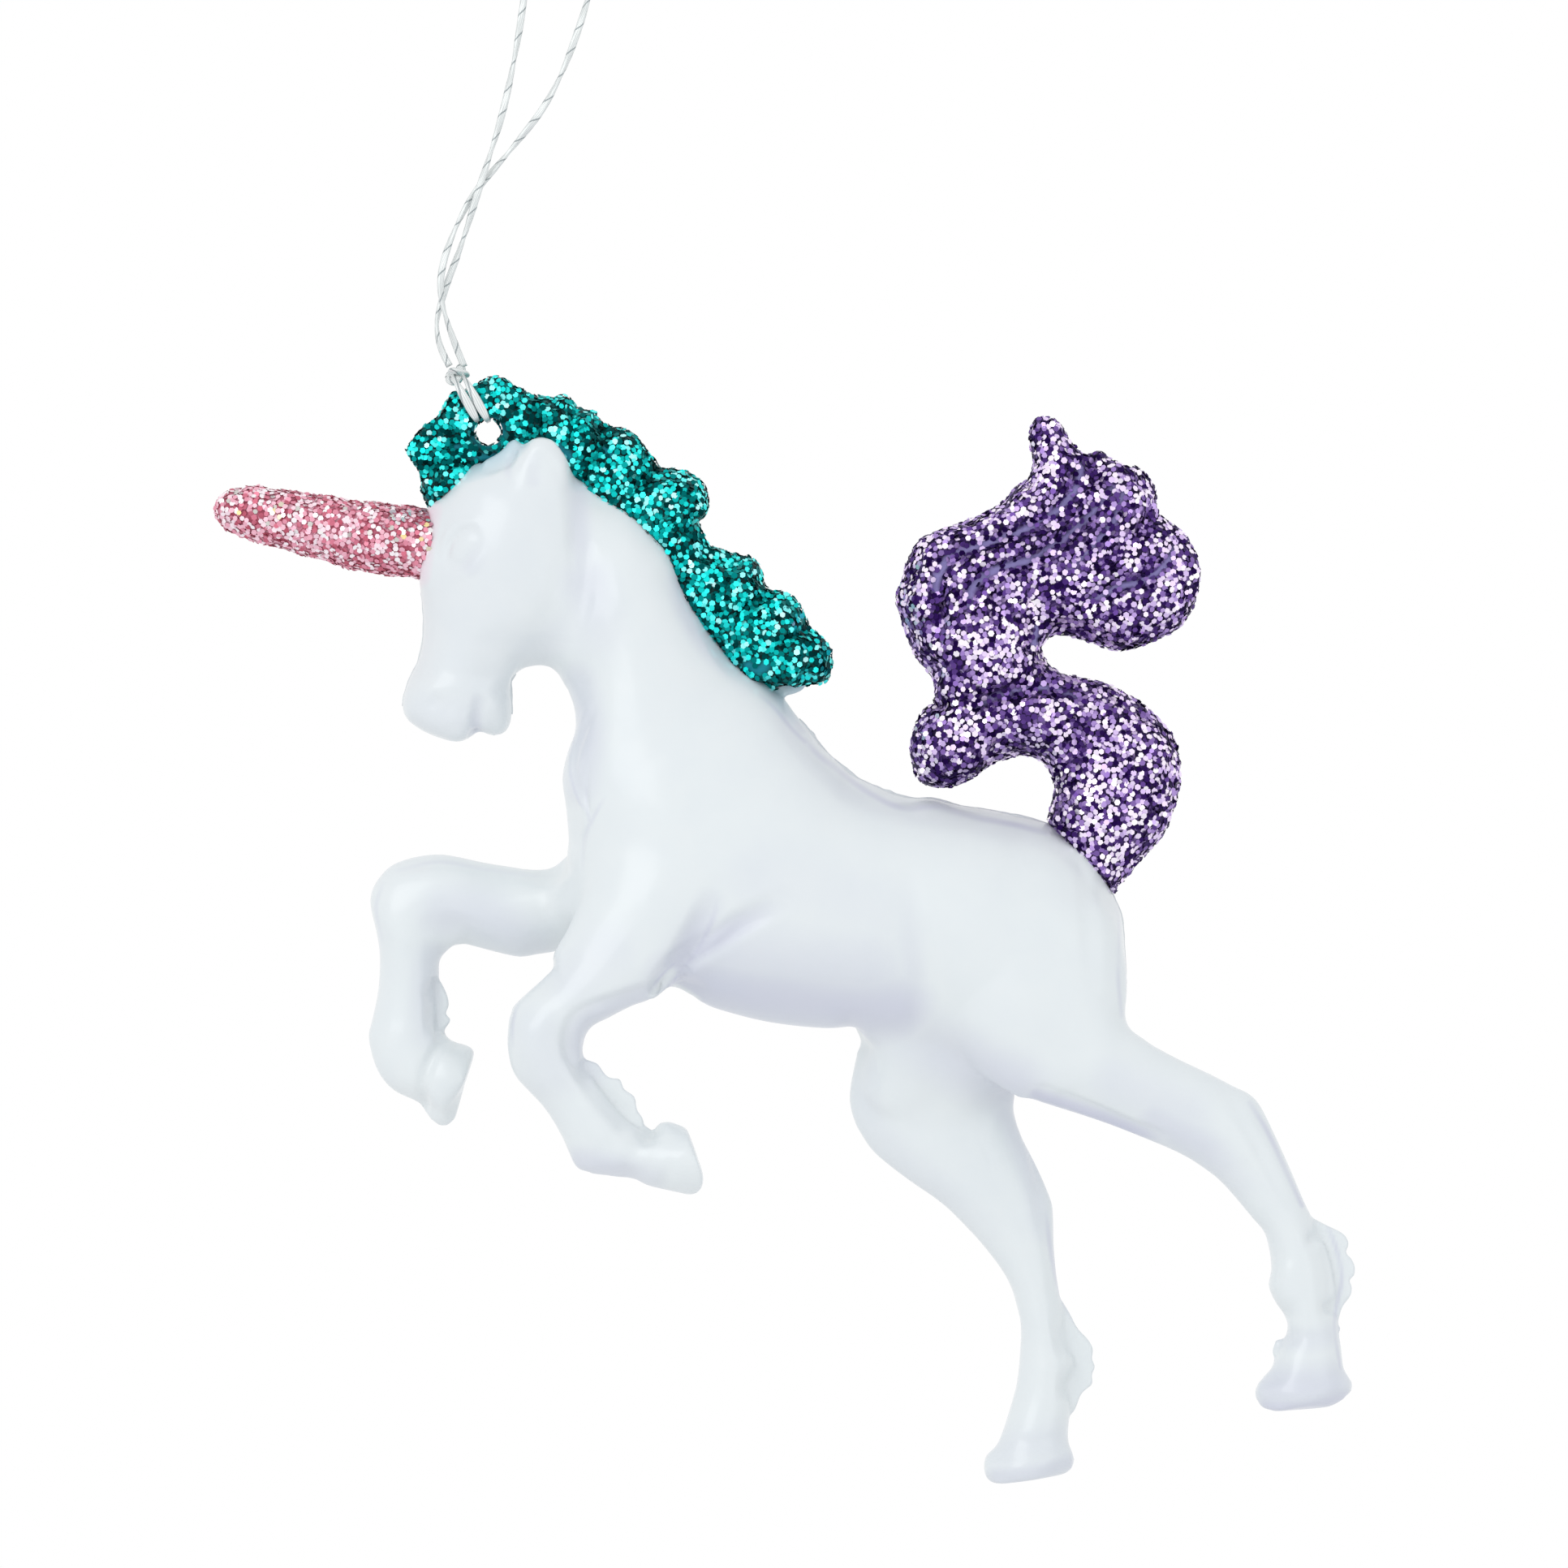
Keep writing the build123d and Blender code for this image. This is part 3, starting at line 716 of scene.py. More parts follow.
@dataclass(frozen=True)
class Glitter:
    """One colour of craft glitter: its ground and its flakes.

    Args:
        name: the colour's name.
        ground: the ground's tones from dark to light.
        bare: the colour of the glue where no flakes stuck.
        flakes: the flakes' tones by their place from 0 to 1, from dark to bright; these stand partly for the glitter's
            own mix of colours and partly for painted glints on flakes that catch the light and painted shade on flakes
            turned away.
        metallic: how metallic the flakes are.
    """

    name: str
    ground: tuple[Point, Point, Point]
    bare: Point
    flakes: tuple[tuple[float, Point], ...]
    metallic: float = 1.0

    def build_ground(self, group: NodeTree) -> Material:
        """Build the ground's material.

        Args:
            group: the glitter ground group.

        Returns:
            The material.
        """
        material, nodes, shader = new_material(f"{self.name} glitter ground")
        speckle = nodes.add("ShaderNodeGroup", node_tree=group, in_Scale=2100.0, in_Depth=0.6)
        dark, middle, light = self.ground
        colour = nodes.ramp(
            speckle.outputs["Tone"], ((0.25, tint(*dark)), (0.65, tint(*middle)), (0.95, tint(*light)))
        )
        bare = nodes.add("ShaderNodeAttribute", attribute_name="bare")
        nodes.join(nodes.blend(bare.outputs["Fac"], colour, tint(*self.bare)), shader.inputs["Base Color"])
        nodes.bump(speckle.outputs["Height"], shader, strength=0.8, distance=0.12 * MM)
        set_up(shader, in_Roughness=0.5, in_Specular_IOR_Level=0.12)
        return material

    def build_flakes(self) -> Material:
        """Build the flakes' material, which reads each flake's tone."""
        material, nodes, shader = new_material(f"{self.name} glitter flakes")
        tone = nodes.add("ShaderNodeAttribute", attribute_name="tone")
        stops = tuple((position, tint(*colour)) for position, colour in self.flakes)
        nodes.join(nodes.ramp(tone.outputs["Fac"], stops), shader.inputs["Base Color"])
        nodes.join(nodes.sum("MULTIPLY_ADD", tone.outputs["Fac"], -0.2, 0.45), shader.inputs["Roughness"])
        shader.inputs["Metallic"].default_value = self.metallic
        return material


VIOLET = Glitter(
    name="violet",
    ground=((26, 10, 52), (64, 42, 98), (132, 108, 166)),
    bare=(150, 140, 196),
    flakes=(
        (0.0, (26, 8, 58)), (0.14, (52, 28, 92)), (0.28, (106, 76, 150)), (0.43, (188, 160, 222)),
        (0.6, (240, 220, 254)), (0.82, (248, 236, 254)), (1.0, (255, 250, 255)),
    ),
)
TEAL = Glitter(
    name="teal",
    ground=((1, 34, 34), (4, 78, 78), (14, 134, 130)),
    bare=(24, 132, 148),
    flakes=(
        (0.0, (1, 40, 41)), (0.16, (2, 80, 81)), (0.32, (7, 140, 139)), (0.5, (20, 212, 208)), (0.7, (52, 250, 246)),
        (0.9, (136, 255, 253)), (1.0, (210, 255, 255)),
    ),
)
ROSE = Glitter(
    name="rose",
    ground=((178, 84, 104), (204, 124, 144), (232, 180, 196)),
    bare=(244, 200, 212),
    flakes=(
        (0.0, (186, 84, 104)), (0.14, (216, 124, 146)), (0.32, (238, 166, 186)), (0.5, (250, 204, 218)),
        (0.66, (255, 234, 242)), (0.92, (255, 254, 255)), (0.94, (206, 204, 200)), (0.965, (214, 212, 206)),
        (0.975, (246, 222, 158)), (1.0, (250, 232, 180)),
    ),
    metallic=0.65,
)


@dataclass(frozen=True)
class SilverCord:
    """Flat silvery white braid with a fine dark thread wound round it.

    Args:
        bright: the braid's colour.
        shade: the shade painted between its yarns.
        thread: the wound thread's colour.
        lay: how far along the cord one winding of the thread takes.
        thread_share: half the share of the cord that the thread covers.
        yarns_round: yarns round the cord.
        yarns_along: yarns to a metre along it.
    """

    bright: Point = (240, 243, 241)
    shade: Point = (206, 211, 211)
    thread: Point = (158, 166, 168)
    lay: float = 2.1 * MM
    thread_share: float = 0.045
    yarns_round: float = 12.0
    yarns_along: float = 900.0

    def build(self) -> Material:
        """Build the material, which reads the cord's own map: once round across, metres along."""
        material, nodes, shader = new_material("silver cord")
        where = nodes.add("ShaderNodeUVMap", uv_map="lay")
        apart = nodes.add("ShaderNodeSeparateXYZ")
        nodes.join(where.outputs["UV"], apart.inputs["Vector"])
        around, along = apart.outputs["X"], apart.outputs["Y"]
        turns = nodes.sum("MULTIPLY", along, 1.0 / self.lay)
        wound = nodes.sum("FRACT", nodes.sum("ADD", turns, around))
        line = nodes.sum("COMPARE", wound, 0.5, self.thread_share)
        skew = nodes.sum(
            "ADD", nodes.sum("MULTIPLY", around, self.yarns_round), nodes.sum("MULTIPLY", along, self.yarns_along)
        )
        yarns = nodes.sum("SINE", nodes.sum("MULTIPLY", skew, 2 * math.pi))
        level = nodes.sum("MULTIPLY_ADD", yarns, 0.5, 0.5)
        braid = nodes.blend(level, tint(*self.shade), tint(*self.bright))
        nodes.join(nodes.blend(line, braid, tint(*self.thread)), shader.inputs["Base Color"])
        height = nodes.sum("SUBTRACT", nodes.sum("MULTIPLY", level, 0.4), line)
        nodes.bump(height, shader, strength=0.6, distance=0.05 * MM)
        set_up(shader, in_Metallic=0.45, in_Roughness=0.38)
        return material


# The moulded body


@dataclass(frozen=True)
class Lobe:
    """One rounded swelling that is added to a piece: a curl of hair or a muscle.

    Args:
        centre: its middle on the sheet.
        radius: its radius on the sheet in squares.
        depth: its half depth as a share of the radius.
        stretch: its length along its own way as a share of the radius.
        turn: that way's angle in degrees, clockwise from across.
        y: how far its middle lies off the middle plane, in millimetres.
    """

    centre: Point
    radius: float
    depth: float = 0.9
    stretch: float = 1.0
    turn: float = 0.0
    y: float = 0.0

    def build(self) -> Object:
        """Build the lobe from a ball."""
        bpy.ops.object.select_all(action="DESELECT")
        size = self.radius * SHEET.square
        bpy.ops.mesh.primitive_uv_sphere_add(
            segments=24, ring_count=16, radius=size, location=SHEET.place(*self.centre, self.y * MM),
            scale=(self.stretch, self.depth, 1.0), rotation=(0.0, math.radians(self.turn), 0.0),
        )
        made = bpy.context.active_object
        bpy.ops.object.transform_apply(location=True, rotation=True, scale=True)
        return made


NECK_AND_HEAD = strokes(
    (0.25, 8, ((62, 69), (64.5, 72), (64.5, 75))),
    (-0.28, 2.2, ((71, 60.6, 0.5), (71.5, 66), (71.8, 70), (71.4, 75), (70, 78.6, 0.4))),
    (-0.24, 4, ((72.2, 68.5, 0.3), (72.8, 73), (71.6, 77, 0.5))),
    (-0.05, 1.6, ((72.6, 69, 0.3), (74.6, 73), (76.8, 77), (78.4, 81, 0))),
    (-0.24, 2.2, ((83.6, 67, 0), (86.2, 73), (89, 79.5), (92, 83.5, 0))),
    (-0.14, 2.6, ((60.8, 79, 0.4), (64, 80.4), (68, 80.2))),
)
EYE = strokes(
    (-0.2, 2.8, ((56, 68.2), (57.6, 66.8))),
    (0.2, 1.5, ((56.5, 68.2), (57.8, 66.7))),
    (0.14, 0.8, ((54.7, 68.4, 0.2), (55.1, 66.4), (56.4, 64.9), (58.4, 64.3), (59.4, 65, 0.3))),
    (-0.12, 0.55, ((55.3, 69, 0.3), (55.6, 67), (56.9, 65.6), (58.6, 65.2, 0.6))),
    (-0.14, 0.6, ((55.7, 70, 0.4), (57.3, 69.4), (58.7, 67.6, 0.4))),
    (0.12, 0.9, ((56, 71.2, 0.2), (58, 70.6), (59.6, 68.6, 0.2))),
)
MUZZLE = (
    *strokes(
        (-0.16, 1.3, ((53.6, 86.7), (53.9, 86.4))),
        (0.08, 1.1, ((52.4, 86.4, 0.3), (53.2, 85), (54.9, 85.2, 0.3))),
    ),
    *strokes(
        (-0.45, 1.3, ((59.2, 84.8, 0.1), (59.2, 86.6, 0.5), (58.9, 88.4, 0.8), (58.6, 90.6))),
        wrap=0.08,
    ),
    *strokes(
        (0.18, 1.8, ((56.2, 88.6), (57, 89.6))),
        (0.2, 1.9, ((61.2, 87.6), (61.2, 89.2))),
        (-0.12, 2.2, ((60.2, 79.6), (60, 83))),
    ),
)
EARS = strokes(
    (-0.13, 1.6, ((66.8, 56.6, 0.4), (66.4, 58.2), (66.2, 60.2, 0.6))),
    (-0.16, 1, ((64.4, 55, 0.6), (63.3, 56.3), (62.7, 57.8), (63, 59.2, 0.4))),
    (0.1, 0.9, ((64.6, 59.4, 0.4), (65, 56.8), (66.6, 55.2), (68.8, 56.8), (70, 59.4, 0.4))),
)
CHEST = strokes(
    (0.14, 0.55, ((72.6, 87.2, 0.3), (71.2, 90), (70.2, 93.4), (70.4, 96.4), (71.6, 98.8), (72.6, 100.2, 0.4))),
    (-0.14, 0.6, ((73.4, 87.6, 0.3), (72, 90.4), (71, 93.6), (71.2, 96.2), (72.3, 98.2, 0.4))),
    (-0.2, 0.5, ((72.8, 94.6, 0.2), (72.4, 97), (72.8, 100), (73.7, 99.6, 0.2))),
    (-0.14, 0.45, ((73, 101.2, 0.4), (72, 103.4), (71.8, 106.8, 0.2))),
)
SHOULDER = (
    *strokes(
        (0.35, 9, ((79, 100), (80, 108))),
    ),
    *strokes(
        (-0.95, 2.5, ((82.2, 121), (84.4, 117.6), (86.6, 113.6, 0.7), (88.4, 109.4, 0.1))),
        (-0.8, 2.2, ((84, 118.4), (88, 115.8, 0.9), (92, 113.2, 0.7), (96.6, 110.8, 0.1))),
        (0.28, 0.8, ((85.6, 117.4), (88.4, 115.4), (90.6, 113.6, 0.3))),
        side=Side.NEAR,
    ),
    *strokes(
        (-0.6, 2.2, ((83, 118), (88, 112, 0.5), (92, 108, 0.1))),
        side=Side.FAR,
    ),
)
BARREL = strokes(
    (-0.12, 3, ((85.6, 120.2), (92, 121.6), (100, 122.4), (108, 122.8), (112.6, 122.2, 0.5))),
    (0.14, 5, ((92, 117.6, 0.5), (100, 118.2), (107, 118.6, 0.6))),
    (-0.24, 2.2, ((111.6, 106.4, 0.1), (112.2, 111, 0.5), (113.2, 116, 0.8), (113.6, 121), (112.8, 125.4, 0.8))),
    (0.45, 9, ((119, 108, 0.7), (121, 115), (124, 123))),
    (-0.18, 1.8, ((133.4, 105, 0.3), (133.8, 112), (134.4, 121, 0.4))),
)
NEAR_FORELEG = strokes(
    (-0.4, 1.3, ((81, 121.6), (76, 123), (71.6, 124.6), (70.2, 127.2), (70.6, 130.2), (73, 133.4, 0.3))),
    (0.22, 3.2, ((66.2, 124), (66, 128), (68, 132))),
    (-0.14, 0.6, ((72.4, 130.8, 0.4), (75, 134.6), (77, 136.6), (78, 138.4, 0.2))),
    (-0.24, 1.8, ((79, 138.8, 0.5), (78.2, 141.8), (77.4, 144.8))),
    (-0.18, 1.2, ((82.6, 143, 0.4), (81.8, 145.6))),
    (0.22, 2.6, ((73.2, 136), (74.4, 139))),
    side=Side.NEAR,
)
FAR_FORELEG = strokes(
    (-0.4, 2.4, ((53.6, 114, 0.5), (56, 114.4), (60, 115.6, 0.4))),
    (-0.45, 1.3, ((55, 127.8), (53.2, 130.4), (52.2, 133), (52, 136.4))),
    (0.24, 2.6, ((55.4, 130.6), (54.6, 135))),
    (-0.28, 0.6, ((53.4, 120.8), (53.8, 124), (53.8, 128))),
    side=Side.INNER_FAR,
)
NEAR_HIND = strokes(
    (-0.5, 1.1, ((128.4, 134, 0.4), (134, 136.2), (139, 138.4), (142.6, 139.6, 0.3))),
    (-0.16, 1.4, ((151.8, 136, 0.3), (154.8, 141.4), (157.4, 146.4), (159.8, 150.6, 0.3))),
    (0.15, 2.4, ((149, 136), (152.6, 141.6))),
    (-0.1, 0.6, ((161.8, 150.6), (162.8, 153.6), (163.4, 157.6), (163.2, 160.6, 0.2))),
    (-0.14, 1.4, ((157.6, 163.8, 0.4), (160.6, 164.4), (164.4, 164.2, 0.4))),
    (0.22, 1.5, ((155.6, 170.6, 0.7), (160.4, 171.4), (165.2, 170.2, 0.7))),
    (0.22, 2, ((157.6, 156.4), (158.2, 159))),
    side=Side.NEAR,
)
FAR_HIND = strokes(
    (-0.07, 0.6, ((120.6, 139.8, 0.3), (121.8, 142.4), (122.8, 145, 0.3))),
    (-0.3, 1.5, ((127, 139, 0.3), (128.2, 145), (128.4, 151, 0.3))),
    (-0.12, 0.6, ((131.2, 162.6, 0.3), (132, 166.6), (131.8, 171, 0.3))),
    (-0.16, 1.4, ((123.6, 177.4, 0.4), (127.4, 178), (131.8, 177.2, 0.4))),
    (0.2, 1.5, ((122.4, 181, 0.7), (126.8, 180.8), (131.6, 179.4, 0.7))),
    side=Side.INNER_FAR,
)
JOINS = strokes(
    (1.4, 6.5, ((79, 101), (74, 108), (72, 112), (76, 116), (82, 118), (88, 115), (91, 108))),
    (1.4, 6.5, ((84, 101), (90, 106))),
    (1.4, 6.5, ((117, 106), (114, 116), (112, 123), (113, 129), (120, 132))),
    (1.4, 5, ((134, 108), (137, 118), (139, 127))),
    (1.4, 5.5, ((69.6, 60), (72.4, 66), (72.4, 73), (69.4, 79), (64, 81.4))),
    (1, 2.6, ((53.8, 86.8), (56.8, 87), (59, 88))),
    (0.9, 3.6, ((63.2, 56.6), (64, 59.6), (67.6, 61.4), (70.4, 60.4))),
    (1.4, 4.6, ((69.6, 108.6), (70.4, 111.4), (72, 114.6))),
    (1.4, 6, ((107, 128), (110.6, 132.4), (116, 135.6), (121.4, 135.4))),
    (1.4, 3.6, ((125.6, 111.2), (129, 111.2), (133, 111.2))),
    (1.2, 2.6, ((78.8, 139.6), (80.4, 140.8), (82.4, 140))),
    (1.2, 2.4, ((66.6, 116.8), (68.4, 118), (70.4, 117.4))),
    (1, 3, ((53.6, 131), (54.4, 135), (54.4, 138))),
    (1.2, 5, ((55.4, 63.6), (55.4, 67), (54.8, 71))),
    (1, 2.4, ((161.4, 150), (163, 155), (163.3, 158), (163.2, 161.6))),
    (1, 2.2, ((129.8, 160), (130.8, 165), (130.8, 171))),
    (0.5, 4, ((158, 171), (163, 171))),
    (0.5, 4, ((124, 180), (129.6, 179.4))),
    side=Side.ALL,
)
FLASH_PATHS: tuple[Path, ...] = (
    (
        (98, 89, 0.3), (100, 91, 1), (102.6, 93, 0.3), (104.2, 94.8, 1), (107, 96.4, 0.5), (110, 97.8, 1),
        (113, 98.6, 0.4), (116, 98.6, 0.8), (119, 99.4, 0.3), (123, 100, 0.5), (126, 101, 1), (129, 102, 0.4),
    ),
    ((136.8, 108.4, 0.3), (138.2, 113, 0.6), (138.6, 118, 0.5), (138.5, 123, 1), (138.4, 125.6, 0.6)),
    ((52, 73, 0.2), (52, 78, 0.5), (50.6, 83, 0.4), (49.7, 87, 0.3)),
    ((62.6, 82, 0.4), (62.6, 85, 0.8), (63, 88, 0.6)),
)


BODY_FILLERS = (
    Lobe((114, 127.4), 7.4, 0.72, y=1.2), Lobe((119.6, 129.6), 5.6, 1, y=0.6), Lobe((110.6, 124.4), 4.2, 1.2),
    Lobe((74, 108.4), 4.6, 1.25), Lobe((77.4, 113), 4.2, 1.25), Lobe((70.8, 73.6), 4.6, 0.9),
    Lobe((68.6, 77.4), 3.4, 0.95), Lobe((86, 114.6), 4.4, 1.8), Lobe((130.6, 110.6), 5.6, 1.1),
    Lobe((57.4, 86.2), 2.6, 1.1), Lobe((66.7, 57.9), 3.75, 0.56, y=-4.2), Lobe((66.7, 57.9), 3.75, 0.56, y=4.2),
    Lobe((62.3, 56.7), 2.4, 0.85, 1.3, -40, -2.7), Lobe((54.9, 69.8), 3.3, 0.8, y=-2.4),
    Lobe((54.9, 69.8), 3.3, 0.8, y=2.4), Lobe((65.6, 60.4), 3.9, 0.8, y=-3.2), Lobe((65.6, 60.4), 3.9, 0.8, y=3.2),
    Lobe((56.6, 67), 4.6, 1.25), Lobe((71.8, 111.4), 3.4, 1.5, y=0.8), Lobe((54, 135.8), 2.9, 1, 1.25, 75, 4.85),
    Lobe((111.6, 133), 5.4, 0.8, y=2.4), Lobe((118.4, 133.4), 4, 1, y=1.6), Lobe((80.4, 141.5), 3.1, 0.8, y=-4.85),
    Lobe((55.6, 67), 3.4, 0.75, y=-2.4), Lobe((55.6, 67), 3.4, 0.75, y=2.4),
    Lobe((160.2, 170.6), 3, 0.95, 1.75, 0, -4.85), Lobe((127, 179.6), 2.8, 0.95, 1.8, -6, 4.85),
)
FEATHERS = (
    ((
        (71, 129.8), (72.8, 130.6), (73.7, 130.9), (75, 132.6), (76.5, 132.8), (76.9, 134), (78.3, 135),
        (78.5, 136.5), (79.4, 138), (79, 140.4), (76, 140.4), (72.6, 136), (70.4, 132),
    ), -4.85, 0.42),
    ((
        (53, 119.6), (54.4, 121.5), (55.2, 123.8), (54.7, 125), (55.4, 125.8), (54.5, 127.2), (54.9, 128.4),
        (52, 129), (51.4, 124),
    ), 4.85, 0.42),
    ((
        (161.4, 149.8), (163.3, 150.8), (164.8, 151.5), (165.6, 152.2), (165.9, 153.2), (165.4, 154.1),
        (166.2, 154.8), (166.7, 156), (166.5, 157), (165.8, 157.5), (166.3, 158.2), (166.1, 159.4), (165.1, 160.8),
        (164.7, 162.2), (164.6, 163), (165, 163.4), (164.4, 163.9), (162.6, 163), (161, 156),
    ), -4.85, 0.42),
    ((
        (130.4, 159.6), (131.9, 162), (132.9, 163.9), (134.2, 165.3), (134.9, 166.7), (134.6, 167.6), (135.1, 168.7),
        (134.6, 169.7), (134.8, 170.8), (133.4, 172), (132.2, 174.5), (130, 173.6), (129.4, 166),
    ), 4.85, 0.42),
    ((
        (157.7, 164.7), (157, 164.8), (156.7, 165.6), (156.5, 166.4), (156.8, 167), (156.6, 168.6), (158, 169.4),
        (158.4, 166.4), (158.4, 165.2),
    ), -4.85, 0.35),
    ((
        (79.9, 122.8), (81.4, 120.9), (82.6, 119.3), (83.2, 119.6), (82.8, 121), (81.4, 122.4), (80.4, 123),
    ), -5.85, 0.42),
    ((
        (94.6, 82.6), (97, 83), (98.8, 83.4), (99.3, 84), (99, 84.9), (97.8, 85.5), (96.8, 85.7), (96.1, 86),
        (94.6, 85),
    ), 0, 0.45),
)
